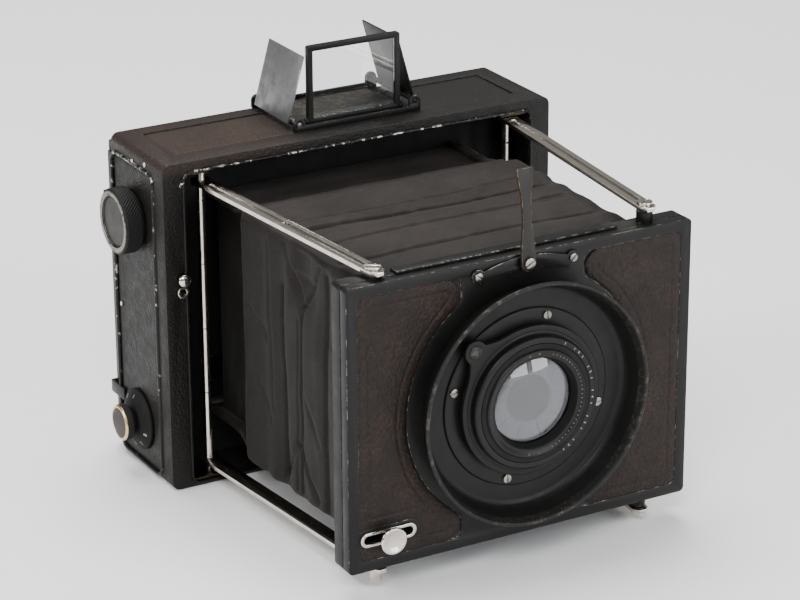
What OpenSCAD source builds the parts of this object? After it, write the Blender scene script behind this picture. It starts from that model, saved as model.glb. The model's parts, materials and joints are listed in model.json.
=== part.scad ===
// Strut-folding focal-plane plate camera, shown open.
// +Z is up and the lens looks along -Y. The origin is the mouth of the tripod socket in the base.
// Distances called "depth" are measured back from the front face of the body; "reach" is forward of it.

/* [Body] */
// Width of the body
body_w = 166; // [164:1:172]
// Height of the body
body_h = 130; // [129:1:134]
// Depth of the body without its sliding back
body_d = 45; // [44:0.5:48]
// Width of the front opening
open_w = 147.8; // [146:0.2:149]
// Thickness of the body floor in the front well
floor_t = 1.6; // [1.4:0.1:1.8]
// Thickness of the body roof over the front well
roof_t = 4.4; // [4.2:0.1:5]
// Depth of the front well, up to the light baffle
well_d = 22; // [21:0.5:23]
// Radius of the long outer edges of the body
edge_r = 3.2; // [2:0.2:4]
// How far the tripod socket is behind the front face
socket_depth = 12; // [11:0.5:13]

/* [Front standard] */
// Width of the standard and of its sliding lens panel
front_w = 141; // [139:0.5:142]
// Height of the standard and of its lens panel
front_h = 107.5; // [106:0.5:108]
// How far the lens panel's face stands in front of the body
front_reach = 114.5; // [112:0.5:118]
// Thickness of the lens panel
panel_t = 4.3; // [4:0.1:4.6]
// Thickness of the frame behind the lens panel
frame_t = 5.8; // [5.4:0.1:6]
// How far the standard sits to the right of the body's middle
front_x = 1; // [0:0.5:1.5]
// Height of the lens axis above the base
axis_z = 64.1; // [63.5:0.1:65]

/* [Struts] */
// Distance of each pivot rod from the middle
rod_x = 65.65; // [65:0.05:66.5]
// Depth of the pivot rods inside the front well
rod_depth = 4.2; // [4:0.1:4.6]
// Radius of the pivot rods
rod_r = 1.6; // [1.4:0.1:1.8]
// Distance of each foot screw from the middle, with the camera open
foot_x = 55.4; // [54:0.2:57]
// Width of the strut bars
bar_w = 6.2; // [5:0.2:7]
// Thickness of the strut bars
bar_t = 1.5; // [1.2:0.1:1.6]

/* [Lens] */
// Radius of the rim of the dished lens collar
cup_r = 45.8; // [44:0.2:47]
// How far the collar's rim stands in front of the lens panel
cup_h = 11; // [9:0.5:13]
// Radius of the flange that holds the lens
flange_r = 33.5; // [32:0.5:35]
// Radius of the aperture ring
aperture_r = 24.9; // [24:0.1:26]
// Radius of the front glass
glass_r = 16.9; // [15:0.1:18]

/* [Finder] */
// Middle of the folding finder, across the body
finder_x = 3.9; // [0:0.1:6]
// Width of the finder's glass frame
finder_w = 39.4; // [36:0.2:40]
// Height of the finder's glass frame
finder_h = 30.4; // [26:0.2:31]
// How far the finder's side leaves lean inwards, in degrees
leaf_lean = 15.5; // [8:0.5:16]

/* [Controls] */
// Radius of the shutter winding knob
wind_r = 12.6; // [11:0.1:13]
// Height of the winding knob above the base
wind_z = 101.5; // [98:0.5:103]
// Height of the tension knob above the base
tension_z = 19.8; // [18:0.2:22]
// Depth of both knobs behind the front face
knob_depth = 27.5; // [26:0.5:28.5]

/* [Hidden] */
$fn = 96;
eps = 0.01;
y_face = -socket_depth;
y_well = y_face + well_d;
y_back = y_face + body_d;
y_panel = y_face - front_reach;
y_frame = y_panel + panel_t + 0.4;
y_bellows = y_frame + frame_t;
open_z1 = body_h - roof_t;
rod_y = y_face + rod_depth;
foot_y = y_bellows - 4;
strut_len = sqrt(pow(rod_x - foot_x, 2) + pow(foot_y - rod_y, 2));
toe_in = atan2(rod_x - foot_x, rod_y - foot_y);
// Heights of the bar undersides above the lens axis, left and right, so that the two pairs cross when folded
bar_rise = [front_h / 2 + 1.55, front_h / 2 + 4.7];
bracket_t = 1.2;
foot_head_z = 2.6;
lens_x = front_x + 0.4;
cup_y = y_panel - 1.1;
flange_y = cup_y - 1;
focus_y = flange_y - 3.8;
ring_y = focus_y - 2.8;
rear_x = body_w / 2 - 6;
rear_z0 = 6;
rear_z1 = body_h - 6;
// The case is made of boards, a hairline apart, and a board's end laps this far past its neighbour's face
joint_gap = 0.04;
board_lap = 0.3;
side_x = body_w / 2;
leather_t = 0.5;
inset = 0.7;
roller_y = y_well + 11;
roller_z = [13.5, 115];
knob_y = y_face + knob_depth;
plate_x = 71.5;
gear_r = 7.2;
back_t = 5.3;
back_z0 = 5;
back_z1 = 121.6;
hinge_y = y_back + back_t + 2;
hinge_z = axis_z + 52;
lock_x = front_x - 55.5;
lock_z = 22.8;
lever_z = 115;
finder_y = y_face + 10;
pin_x = [finder_x - 24.9, finder_x + 24.9];
pin_z = [body_h + 2.7, body_h + 4];
pane_y = finder_y + 3.6;
pane_hinge_z = body_h + 2.4;
leaf_len = 25;
leaf_d = 30.5;

// ---- shared shapes ----

// A rectangle with round corners, centred, made of squares and circles so that its edges stay true arcs
module round_rect(w, h, r) {
    square([w - 2 * r, h], center = true);
    square([w, h - 2 * r], center = true);
    for (sx = [-1, 1], sz = [-1, 1])
        translate([sx * (w / 2 - r), sz * (h / 2 - r)])
            circle(r);
}

// A slot w long and h high with half-round ends
module long_hole(w, h) {
    square([w - h, h], center = true);
    for (sx = [-1, 1])
        translate([sx * (w - h) / 2, 0])
            circle(h / 2);
}

// A flat shape drawn in X and Z, given a thickness from y0 back to y1
module slab(y0, y1) {
    translate([0, y1, 0])
        rotate([90, 0, 0])
            linear_extrude(y1 - y0)
                children();
}

module rod_along_y(x, z, r, y0, y1) {
    translate([x, y1, z])
        rotate([90, 0, 0])
            cylinder(r = r, h = y1 - y0);
}

module rod_along_x(y, z, r, x0, x1) {
    translate([x0, y, z])
        rotate([0, 90, 0])
            cylinder(r = r, h = x1 - x0);
}

module box(x0, x1, y0, y1, z0, z1) {
    translate([x0, y0, z0])
        cube([x1 - x0, y1 - y0, z1 - z0]);
}

// A turned part on the lens axis: points are [radius, distance in front of the lens panel]
module turned(points) {
    translate([lens_x, y_panel, axis_z])
        rotate([90, 0, 0])
            rotate_extrude()
                polygon(points);
}

// A cheese-head screw with a slot, head up, its head's underside at the origin
module cheese_head(r, h, slot_angle) {
    difference() {
        cylinder(r = r, h = h);
        rotate(slot_angle)
            translate([-r - 1, -0.3, h - 0.5])
                cube([2 * r + 2, 0.6, 1]);
    }
}

// A gear wheel lying in the Y-Z plane
module gear(y, z, r, teeth, x0, x1, bore) {
    translate([x0, y, z])
        rotate([0, 90, 0])
            linear_extrude(x1 - x0)
                difference() {
                    union() {
                        circle(r - 1.1);
                        for (i = [0 : teeth - 1])
                            rotate(i * 360 / teeth)
                                translate([r - 1.4, 0])
                                    polygon([[0, -0.75], [1.3, -0.35], [1.3, 0.35], [0, 0.75]]);
                    }
                    circle(bore);
                }
}

// ---- body ----

module body_shell() {
    color([0.08, 0.075, 0.07]) {
        case_boards(y_face - 1, y_well - joint_gap / 2, floor_t, open_z1);
        case_boards(y_well + joint_gap / 2, y_back + 1, rear_z0, rear_z1);
    }
}

// Floor, two cheeks and roof of the case between two depths, where its inside runs from z0 to z1
module case_boards(y0, y1, z0, z1) {
    cheek_z0 = z0 + board_lap;
    cheek_z1 = z1 - board_lap;
    for (level = [[-1, cheek_z0], [cheek_z0 + joint_gap, cheek_z1 - joint_gap], [cheek_z1, body_h + 1]])
        intersection() {
            case_solid();
            box(-side_x - 1, side_x + 1, y0, y1, level[0], level[1]);
        }
}

// The whole case in one piece, with its front well, shutter chamber, bores and sunk fields
module case_solid() {
    difference() {
        translate([0, 0, body_h / 2])
            slab(y_face, y_back)
                round_rect(body_w, body_h, edge_r);
        box(-open_w / 2, open_w / 2, y_face - 1, y_well, floor_t, open_z1);
        box(-rear_x, rear_x, y_well - eps, y_back + 1, rear_z0, rear_z1);
        rod_along_x(knob_y, wind_z, 3.1, -side_x - 1, -rear_x + 1);
        rod_along_x(knob_y, tension_z, 3.1, -side_x - 1, -rear_x + 1);
        translate([0, 0, -1])
            cylinder(r = 8, h = 4);
        rod_along_y(-76.6, 85.2, 2, y_face - 1, y_face + 7);
        rod_along_y(-76.6, 80.1, 1.7, y_face - 1, y_face + 5);
        side_panel_area(-side_x - 1, -side_x + inset);
        side_panel_area(side_x - inset, side_x + 1);
        box(-73, 73, y_face + 10, y_face + 38, body_h - inset, body_h + 1);
        box(-73, 73, y_face + 6, y_back - 6, -1, inset);
    }
}

// The sunk field that takes the leather on each side
module side_panel_area(x0, x1) {
    box(x0, x1, y_face + 9.5, y_back - 1, 3, 123);
}

module side_leather(x0) {
    color([0.1, 0.09, 0.085])
        difference() {
            box(x0, x0 + leather_t, y_face + 9.6, y_back - 1.1, 3.1, 122.9);
            rod_along_x(knob_y, wind_z, 3.4, x0 - 1, x0 + 2);
            rod_along_x(knob_y, tension_z, 3.4, x0 - 1, x0 + 2);
        }
}

module left_side_leather() {
    side_leather(-side_x + inset - leather_t);
}

module right_side_leather() {
    side_leather(side_x - inset);
}

module top_leather() {
    color([0.12, 0.1, 0.085])
        box(-72.9, 72.9, y_face + 10.1, y_face + 37.9, body_h - inset, body_h - inset + leather_t);
}

module base_leather() {
    color([0.1, 0.09, 0.085])
        difference() {
            box(-72.9, 72.9, y_face + 6.1, y_back - 6.1, inset - leather_t, inset);
            translate([0, 0, -1])
                cylinder(r = 8.1, h = 4);
        }
}

// Threaded bush: a flange in the base and a barrel standing up into the front well
module tripod_bush() {
    color([0.72, 0.68, 0.58])
        difference() {
            union() {
                cylinder(r = 7.9, h = 2.6);
                cylinder(r = 6.6, h = 8.4);
            }
            translate([0, 0, -1])
                cylinder(r = 4.76, h = 9);
        }
}

// Plates in the corners of the well that hold the ends of the pivot rods
module rod_brackets() {
    color([0.5, 0.42, 0.25])
        for (sx = [-1, 1], z0 = [floor_t, open_z1 - bracket_t])
            difference() {
                box(min(sx * 61.5, sx * 73.8), max(sx * 61.5, sx * 73.8),
                    rod_y - 3.6, rod_y + 5, z0, z0 + bracket_t);
                translate([sx * rod_x, rod_y, z0 - 1])
                    cylinder(r = rod_r + 0.06, h = 4);
            }
}

module case_pins() {
    color([0.6, 0.58, 0.54]) {
        rod_along_x(28.6, 62.7, 0.9, -side_x - 0.5, -side_x + inset - leather_t);
        for (p = [[13.6, 124.6], [2.6, 126.4]])
            rod_along_x(p[0], p[1], 0.9, -side_x - 0.5, -side_x);
        rod_along_y(-75.6, 121.5, 0.9, y_face - 0.5, y_face);
    }
}

module release_socket() {
    color([0.75, 0.72, 0.66])
        difference() {
            union() {
                rod_along_y(-76.6, 80.1, 1.65, y_face, y_face + 4.9);
                rod_along_y(-76.6, 80.1, 2.4, y_face - 1.6, y_face);
            }
            rod_along_y(-76.6, 80.1, 1.2, y_face - 2, y_face + 4.5);
        }
}

// ---- shutter inside the body ----

// The wall behind the well, with the film gate and a blister that clears the winding gear
module light_baffle() {
    color([0.05, 0.05, 0.05])
        difference() {
            union() {
                box(-rear_x + 0.1, rear_x - 0.1, y_well, y_well + 1.5, rear_z0 + 0.1, rear_z1 - 0.1);
                box(-72.3, -66.2, y_well - 3, y_well + 0.5, wind_z - gear_r - 1.7, wind_z + gear_r + 1.7);
            }
            box(-59, 59, y_well - 1, y_well + 3, axis_z - 43, axis_z + 43);
            box(-71.4, -67.1, y_well - 2.2, y_well + 2, wind_z - gear_r - 0.8, wind_z + gear_r + 0.8);
        }
}

module bearing_plates() {
    color([0.55, 0.47, 0.3])
        for (sx = [-1, 1])
            difference() {
                box(min(sx * plate_x, sx * (plate_x + 1.6)), max(sx * plate_x, sx * (plate_x + 1.6)),
                    y_well + 1.6, y_back - 1.5, rear_z0 + 0.2, rear_z1 - 0.2);
                for (z = roller_z)
                    rod_along_x(roller_y, z, 2.06, sx * plate_x - 3, sx * plate_x + 3);
                rod_along_x(knob_y, wind_z, 2.56, sx * plate_x - 3, sx * plate_x + 3);
                rod_along_x(knob_y, tension_z, 2.56, sx * plate_x - 3, sx * plate_x + 3);
            }
}

// The cloth curtain between the rollers, with its slit
module shutter_curtain() {
    color([0.06, 0.06, 0.06])
        difference() {
            box(-62, 62, roller_y + 5.4, roller_y + 5.8, roller_z[0], roller_z[1]);
            box(-58, 58, roller_y + 5, roller_y + 6, 24, 34);
        }
}

module roller(z) {
    rod_along_x(roller_y, z, 5, -64, 64);
    rod_along_x(roller_y, z, 2, -plate_x - 3.4, plate_x + 2.4);
}

module upper_roller() {
    color([0.5, 0.47, 0.4])
        roller(roller_z[1]);
}

module lower_roller() {
    color([0.5, 0.47, 0.4])
        roller(roller_z[0]);
}

module roller_gear() {
    color([0.7, 0.58, 0.32])
        gear(roller_y, roller_z[1], gear_r, 24, -70.5, -68, 2);
}

module winding_gear() {
    color([0.7, 0.58, 0.32])
        gear(knob_y, wind_z, gear_r, 24, -70.5, -68, 2.5);
}

// ---- sliding back ----

module back_rails() {
    color([0.07, 0.07, 0.07]) {
        for (z = [[back_z1 + 0.4, back_z1 + 3.6, back_z1 - 2.4],
                  [back_z0 - 3.6, back_z0 - 0.4, back_z0 - 0.4]]) {
            box(-side_x + 2, side_x - 2, y_back, y_back + back_t + 1.4, z[0], z[1]);
            box(-side_x + 2, side_x - 2, y_back + back_t + 0.3, y_back + back_t + 1.4, z[2], z[2] + 2.8);
        }
    }
}

module back_catches() {
    color([0.5, 0.48, 0.42])
        for (z = [25, 103]) {
            box(-side_x - 0.9, -side_x, y_back - 5, y_back + back_t + 1.6, z - 2.5, z + 2.5);
            box(-side_x - 0.9, -side_x + 2, y_back + back_t + 0.4, y_back + back_t + 1.6, z - 2.5, z + 2.5);
        }
}

module back_frame() {
    color([0.07, 0.07, 0.07])
        difference() {
            box(-side_x + 0.8, side_x - 0.8, y_back + 0.3, y_back + back_t, back_z0, back_z1);
            box(-59, 59, y_back - 1, y_back + back_t + 1, axis_z - 43, axis_z + 43);
            box(-61.5, 61.5, y_back + 2, y_back + back_t + 1, axis_z - 45.5, axis_z + 45.5);
        }
}

module ground_glass() {
    color([0.75, 0.78, 0.76])
        box(-61.2, 61.2, y_back + 2, y_back + 3.8, axis_z - 45.2, axis_z + 45.2);
}

// The lid over the ground glass, hinged at its top edge
module hood_cover() {
    color([0.08, 0.08, 0.08]) {
        difference() {
            union() {
                box(-64, 64, y_back + back_t + 0.6, y_back + back_t + 2.6, axis_z - 47, hinge_z - 1.2);
                rod_along_x(hinge_y, hinge_z, 1.5, -64, -24.2);
                rod_along_x(hinge_y, hinge_z, 1.5, 24.2, 64);
                box(-64, -24.2, y_back + back_t + 0.6, hinge_y, hinge_z - 1.4, hinge_z);
                box(24.2, 64, y_back + back_t + 0.6, hinge_y, hinge_z - 1.4, hinge_z);
            }
            box(-59, 59, y_back + back_t + 1.9, y_back + back_t + 3, axis_z - 43, axis_z + 43);
            box(-24.2, 24.2, y_back + back_t, y_back + back_t + 4, hinge_z - 2.7, hinge_z);
            rod_along_x(hinge_y, hinge_z, 0.78, -65, 65);
        }
    }
}

module hood_leather() {
    color([0.1, 0.09, 0.085])
        box(-58.9, 58.9, y_back + back_t + 1.9, y_back + back_t + 2.5, axis_z - 42.9, axis_z + 42.9);
}

// Hinge block and pin of the lid, fixed on the back frame
module hood_hinge() {
    color([0.6, 0.57, 0.5]) {
        rod_along_x(hinge_y, hinge_z, 0.72, -63.5, 63.5);
        box(-23.8, 23.8, y_back + back_t, hinge_y + 1.2, hinge_z - 1.2, hinge_z + 1.6);
    }
}

// ---- hand strap ----

module strap_lugs() {
    color([0.12, 0.11, 0.1])
        for (z = [20, 112])
            difference() {
                box(side_x - inset + leather_t + eps, side_x + 4.6, knob_y - 10, knob_y + 10, z - 2, z + 2);
                box(side_x + 1.2, side_x + 3.2, knob_y - 8, knob_y + 8, z - 3, z + 3);
            }
}

// The strap runs through both lugs and bows outwards between them
module hand_strap() {
    bow_r = 190;
    bow_z = (20 + 112) / 2;
    bow_half = asin(42 / bow_r);
    color([0.16, 0.1, 0.07]) {
        translate([side_x + 3 - bow_r * cos(bow_half), knob_y + 7.5, bow_z])
            rotate([90, 0, 0])
                linear_extrude(15)
                    intersection() {
                        difference() {
                            circle(bow_r + 1.6, $fn = 360);
                            circle(bow_r, $fn = 360);
                        }
                        translate([bow_r * 0.9, -42])
                            square([bow_r, 84]);
                    }
        for (z = [17, bow_z + 42])
            box(side_x + 1.4, side_x + 3, knob_y - 7.5, knob_y + 7.5, z, z + 7);
    }
}

// ---- bellows ----

// A plain sleeve between the standard and the light baffle
module bellows() {
    color([0.13, 0.11, 0.1])
        difference() {
            box(-60.5, 60.5, y_bellows + 0.4, y_well - 0.4, axis_z - 50.5, axis_z + 50.5);
            box(-59, 59, y_bellows, y_well, axis_z - 49, axis_z + 49);
        }
}

// ---- front standard ----

module standard_frame() {
    color([0.07, 0.07, 0.07])
        difference() {
            translate([front_x, 0, axis_z])
                slab(y_frame, y_bellows)
                    round_rect(front_w, front_h, 2);
            translate([lens_x, 0, axis_z])
                slab(y_frame - 1, y_bellows + 1)
                    square([112, 84], center = true);
            for (sz = [-1, 1])
                box(front_x - 60, front_x + 60, y_frame - 1, y_frame + 1.6,
                    axis_z + sz * 47.5 - 1.6, axis_z + sz * 47.5 + 1.6);
            rod_along_y(lock_x, lock_z, 1.46, y_frame - 1, y_frame + 5);
        }
}

// Low rails along the top and bottom edges that the strut feet run on, with their end posts
module foot_rails() {
    color([0.08, 0.08, 0.08])
        for (sz = [-1, 1]) {
            edge = axis_z + sz * front_h / 2;
            rail = edge + sz * 1.1;
            box(front_x - 48.5, front_x + 41.5, foot_y - 2.4, foot_y + 2.4, min(edge, rail), max(edge, rail));
            translate([-foot_x, foot_y, min(edge, edge + sz * 1.2)])
                cylinder(r = 3, h = 1.2);
            translate([foot_x, foot_y, min(edge, edge + sz * 4.3)])
                cylinder(r = 3, h = 4.3);
        }
}

module lens_panel() {
    color([0.06, 0.06, 0.06]) {
        difference() {
            translate([front_x, 0, axis_z])
                slab(y_panel, y_panel + panel_t)
                    round_rect(front_w, front_h, 1.8);
            rod_along_y(lens_x, axis_z, 24.4, y_panel - 1, y_panel + 6);
            translate([front_x - 54.9, 0, lock_z])
                slab(y_panel - 1, y_panel + 6)
                    long_hole(19.6, 3.2);
            for (side = [-1, 1])
                slab(y_panel - 1, y_panel + leather_t)
                    panel_field(side, 0);
        }
        for (sz = [-1, 1])
            box(front_x - 52, front_x + 52, y_panel + panel_t - eps, y_panel + panel_t + 1.6,
                axis_z + sz * 47.5 - 1.3, axis_z + sz * 47.5 + 1.3);
    }
}

// One leather field: the panel's side less a disc round the lens, pulled in by gap
module panel_field(side, gap) {
    difference() {
        translate([front_x + side * 45.6, axis_z])
            round_rect(41 - 2 * gap, 99 - 2 * gap, 2.5);
        translate([lens_x, axis_z])
            circle(47.6 + gap);
        translate([front_x - 54.9, lock_z])
            long_hole(26 + 2 * gap, 8 + 2 * gap);
    }
}

module panel_leathers() {
    color([0.17, 0.1, 0.08])
        for (side = [-1, 1])
            slab(y_panel + 0.05, y_panel + leather_t)
                panel_field(side, 0.1);
}

module slot_rim() {
    color([0.8, 0.79, 0.75])
        translate([front_x - 54.9, 0, lock_z])
            slab(y_panel - 0.8, y_panel)
                difference() {
                    long_hole(22.4, 5.6);
                    long_hole(19.6, 3.2);
                }
}

module lock_knob() {
    color([0.82, 0.81, 0.78]) {
        rod_along_y(lock_x, lock_z, 1.4, y_panel - 2, y_frame + 4.5);
        translate([lock_x, y_panel - 1.4, lock_z])
            rotate([90, 0, 0])
                rotate_extrude()
                    polygon([[0, 0], [2.6, 0], [2.6, 1], [3.4, 2.6], [5, 3.4], [5, 4.6], [4.4, 5], [2.2, 4.4],
                        [0, 4.2]]);
    }
}

module lever_bridge() {
    color([0.1, 0.09, 0.07])
        difference() {
            slab(y_panel - 1, y_panel) {
                intersection() {
                    translate([lens_x, axis_z])
                        difference() {
                            circle(53);
                            circle(48.2);
                        }
                    polygon([[lens_x, axis_z], [lens_x - 24, axis_z + 60], [lens_x + 24, axis_z + 60]]);
                }
                for (sx = [-1, 1])
                    translate([lens_x + sx * 19.3, axis_z + 48.8])
                        circle(2.6);
            }
            rod_along_y(lens_x, lever_z, 1.06, y_panel - 2, y_panel + 1);
        }
}

module lever_screw() {
    color([0.8, 0.79, 0.75]) {
        rod_along_y(lens_x, lever_z, 1, y_panel - 3.1, y_panel - 0.2);
        translate([lens_x, y_panel - 3, lever_z])
            rotate([90, 0, 0])
                cheese_head(2, 0.9, 30);
        for (sx = [-1, 1])
            translate([lens_x + sx * 19.3, y_panel - 1, axis_z + 48.8])
                rotate([90, 0, 0])
                    cheese_head(1.5, 0.6, sx * 40);
    }
}

// The tall hand lever: round at its pivot, waisted, and flared at its tip
module front_lever() {
    eye = [for (a = [205 : 10 : 335]) 3.2 * [cos(a), sin(a)]];
    right_edge = [[2.8, 5], [1.7, 15], [1.9, 24], [3.3, 34], [3.3, 35.2]];
    left_edge = [for (i = [len(right_edge) - 1 : -1 : 0]) [-right_edge[i][0], right_edge[i][1]]];
    color([0.2, 0.16, 0.1])
        difference() {
            translate([lens_x, 0, lever_z])
                slab(y_panel - 2.9, y_panel - 1.8)
                    rotate(3.2)
                        polygon(concat(eye, right_edge, left_edge));
            rod_along_y(lens_x, lever_z, 1.06, y_panel - 4, y_panel + 1);
        }
}

// ---- struts ----

// One bar seen from above, from its eye on the rod to its tip beyond the foot screw
module bar_outline(cut) {
    difference() {
        union() {
            circle(3.7);
            translate([-bar_w / 2, -strut_len - 2.6])
                square([bar_w, strut_len + 2.6]);
            polygon([[-bar_w / 2, -strut_len - 2.6], [-bar_w / 2 + 1.8, -strut_len - 4.8],
                [bar_w / 2 - 1.8, -strut_len - 4.8], [bar_w / 2, -strut_len - 2.6]]);
        }
        circle(rod_r - eps);
        translate([0, -strut_len])
            circle(1.3);
        if (cut)
            translate([-0.8, -strut_len + 5])
                square([1.6, strut_len - 12]);
    }
}

// A full bar with its groove, its underside at z = 0; the groove is in the outer face
module bar(groove_up) {
    linear_extrude(bar_t / 2)
        bar_outline(!groove_up);
    translate([0, 0, bar_t / 2 - eps])
        linear_extrude(bar_t / 2 + eps)
            bar_outline(groove_up);
}

module strut(side) {
    rise = bar_rise[side < 0 ? 0 : 1];
    translate([side * rod_x, rod_y, 0]) {
        translate([0, 0, floor_t + 0.3])
            cylinder(r = rod_r, h = open_z1 - floor_t - 0.6);
        rotate(side < 0 ? toe_in : -toe_in) {
            translate([0, 0, axis_z + rise])
                bar(true);
            translate([0, 0, axis_z - rise - bar_t])
                bar(false);
        }
    }
}

module foot_screws(side) {
    rise = bar_rise[side < 0 ? 0 : 1];
    translate([side * foot_x, foot_y, 0]) {
        translate([0, 0, axis_z + rise + eps])
            cylinder(r = 1.29, h = bar_t);
        translate([0, 0, axis_z + rise + bar_t])
            cheese_head(2.9, 1.1, side * 35);
        translate([0, 0, axis_z - rise - bar_t])
            cylinder(r = 1.29, h = bar_t - eps);
        translate([0, 0, foot_head_z])
            cylinder(r = 2.25, h = axis_z - rise - bar_t - foot_head_z);
    }
}

module left_strut() {
    color([0.78, 0.77, 0.74])
        strut(-1);
}

module right_strut() {
    color([0.78, 0.77, 0.74])
        strut(1);
}

// A stud in the groove of the upper left bar, half way along
module strut_stud() {
    color([0.78, 0.77, 0.74])
        translate([-rod_x + strut_len / 2 * sin(toe_in), rod_y - strut_len / 2 * cos(toe_in),
            axis_z + bar_rise[0] + bar_t / 2])
            cylinder(r = 0.7, h = bar_t / 2 + 0.1);
}

module left_foot_screws() {
    color([0.82, 0.8, 0.75])
        foot_screws(-1);
}

module right_foot_screws() {
    color([0.82, 0.8, 0.75])
        foot_screws(1);
}

// ---- lens ----

module lens_collar() {
    color([0.07, 0.065, 0.06])
        turned([[24.4, 0], [41.4, 0], [42.2, 4], [cup_r, cup_h - 0.9], [cup_r, cup_h], [cup_r - 1, cup_h],
            [41.6, 2.6], [40, 1.1], [24.4, 1.1]]);
}

module lens_flange() {
    color([0.06, 0.06, 0.06])
        turned([[24.4, 1.1], [flange_r, 1.1], [flange_r, 1.7], [flange_r - 0.6, 2.1], [24.4, 2.1]]);
}

module flange_screws() {
    color([0.75, 0.72, 0.62])
        for (a = [-15 : 90 : 255])
            translate([lens_x + 30.8 * cos(a), flange_y, axis_z + 30.8 * sin(a)])
                rotate([90, 0, 0])
                    cheese_head(1.6, 0.7, a + 20);
}

// The focusing ring and the lever plate that turns it
module focus_ring() {
    color([0.05, 0.05, 0.05]) {
        turned([[22.7, 2.4], [27.4, 2.4], [28.2, 3], [28.2, 5], [27.6, 5.6], [22.7, 5.6]]);
        translate([lens_x, 0, axis_z])
            slab(y_panel - 5.6, y_panel - 3.9)
                rotate(135)
                    difference() {
                        union() {
                            translate([32.4, 0])
                                circle(4.3);
                            translate([24.5, -4])
                                square([7, 8]);
                        }
                        circle(24);
                    }
    }
}

module lens_barrel() {
    color([0.06, 0.06, 0.06])
        difference() {
            turned([[0, 8.7], [22.35, 8.7], [22.35, -14], [19, -14], [19, -28], [0, -28]]);
            turned([[0, 10], [17.2, 10], [17.2, 5.4], [15.4, 4], [15.4, -27], [14.4, -27], [14.4, -30],
                [0, -30]]);
        }
}

module lens_bezel() {
    color([0.3, 0.2, 0.12])
        turned([[17.3, 8.7], [20.2, 8.7], [20.2, 9.1], [19.6, 9.5], [18.4, 9.2], [17.3, 8.8]]);
}

module front_glass() {
    color([0.55, 0.6, 0.65, 0.5])
        translate([lens_x, y_panel - 5.4, axis_z])
            rotate([90, 0, 0])
                intersection() {
                    cylinder(r = glass_r, h = 4);
                    translate([0, 0, 2.6 - 56])
                        sphere(56, $fn = 180);
                }
}

module rear_glass() {
    color([0.55, 0.6, 0.65, 0.5])
        rod_along_y(lens_x, axis_z, 14.3, y_panel + 27.1, y_panel + 28);
}

// Ten thin leaves round the stop, each a ring sector with a hair gap to the next
module iris_blades() {
    color([0.1, 0.1, 0.11])
        slab(y_panel - 2.2, y_panel - 1.9)
            for (i = [0 : 9])
                translate([lens_x, axis_z])
                    rotate(i * 36)
                        intersection() {
                            difference() {
                                circle(15.3);
                                circle(8.5);
                            }
                            polygon([[0.1, 0.05], [17, 0.05], [17, 17 * tan(35.6)]]);
                        }
}

module aperture_ring() {
    color([0.08, 0.08, 0.08])
        turned([[22.45, 5.9], [aperture_r, 5.9], [aperture_r, 8], [aperture_r - 0.6, 8.6], [22.45, 8.6]]);
}

// ---- controls ----

module winding_knob() {
    color([0.07, 0.07, 0.07])
        difference() {
            union() {
                rod_along_x(knob_y, wind_z, wind_r - 1.2, -side_x - 1.4, -side_x - 0.2);
                rod_along_x(knob_y, wind_z, wind_r, -side_x - 8.2, -side_x - 1.4);
                rod_along_x(knob_y, wind_z, 3, -side_x - 1, -plate_x - 2);
                rod_along_x(knob_y, wind_z, 2.5, -plate_x - 3, -67);
            }
            rod_along_x(knob_y, wind_z, 9.6, -side_x - 9, -side_x - 7.2);
        }
}

module winding_disc() {
    color([0.35, 0.35, 0.34])
        rod_along_x(knob_y, wind_z, 9.5, -side_x - 7.7, -side_x - 7.2);
}

// A skirt with a sloping edge that carries the tension numbers
module tension_dial() {
    color([0.1, 0.1, 0.1])
        translate([-side_x - 0.2, knob_y, tension_z])
            rotate([0, -90, 0])
                rotate_extrude()
                    polygon([[3.2, 0], [12, 0], [12, 0.9], [7.4, 3.6], [3.2, 3.6]]);
}

module tension_knob() {
    color([0.45, 0.33, 0.15]) {
        rod_along_x(knob_y, tension_z, 3, -side_x - 5, -plate_x - 2);
        rod_along_x(knob_y, tension_z, 2.5, -plate_x - 3, -67);
        rod_along_x(knob_y, tension_z, 4.6, -side_x - 5.6, -side_x - 4);
        rod_along_x(knob_y, tension_z, 7, -side_x - 9, -side_x - 5.5);
    }
}

module release_button() {
    color([0.8, 0.79, 0.76]) {
        rod_along_y(-76.6, 85.2, 1.93, y_face - 2.6, y_face + 4.6);
        translate([-76.6, y_face - 2.6, 85.2])
            rotate([90, 0, 0])
                rotate_extrude()
                    polygon([[0, 0], [2.5, 0], [2.3, 0.7], [1.6, 1.3], [0.7, 1.6], [0, 1.6]]);
    }
}

// ---- finder ----

module finder_base() {
    color([0.07, 0.07, 0.07])
        difference() {
            union() {
                box(finder_x - 23, finder_x + 23, finder_y, finder_y + 36, body_h, body_h + 0.7);
                for (y = [finder_y, finder_y + 34.8])
                    slab(y, y + 1.2) {
                        translate([pin_x[0], body_h])
                            square([pin_x[1] - pin_x[0], 2.2]);
                        for (i = [0, 1]) {
                            translate([pin_x[i], pin_z[i]])
                                circle(2.4);
                            translate([pin_x[i] - 2.4, body_h])
                                square([4.8, pin_z[i] - body_h]);
                        }
                    }
            }
            for (i = [0, 1])
                rod_along_y(pin_x[i], pin_z[i], 0.86, finder_y - 1, finder_y + 40);
        }
}

// The frame stands on a round rod, its hinge
module finder_frame() {
    color([0.08, 0.08, 0.08]) {
        translate([finder_x, 0, body_h + 1.3 + finder_h / 2])
            slab(pane_y - 1.1, pane_y + 1.1)
                difference() {
                    round_rect(finder_w, finder_h, 0.8);
                    round_rect(finder_w - 4, finder_h - 4, 0.4);
                }
        for (sx = [-1, 1])
            rod_along_x(pane_y, pane_hinge_z, 1.1, finder_x + sx * (finder_w / 2 + 0.6) - 0.7,
                finder_x + sx * (finder_w / 2 + 0.6) + 0.7);
    }
}

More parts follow.
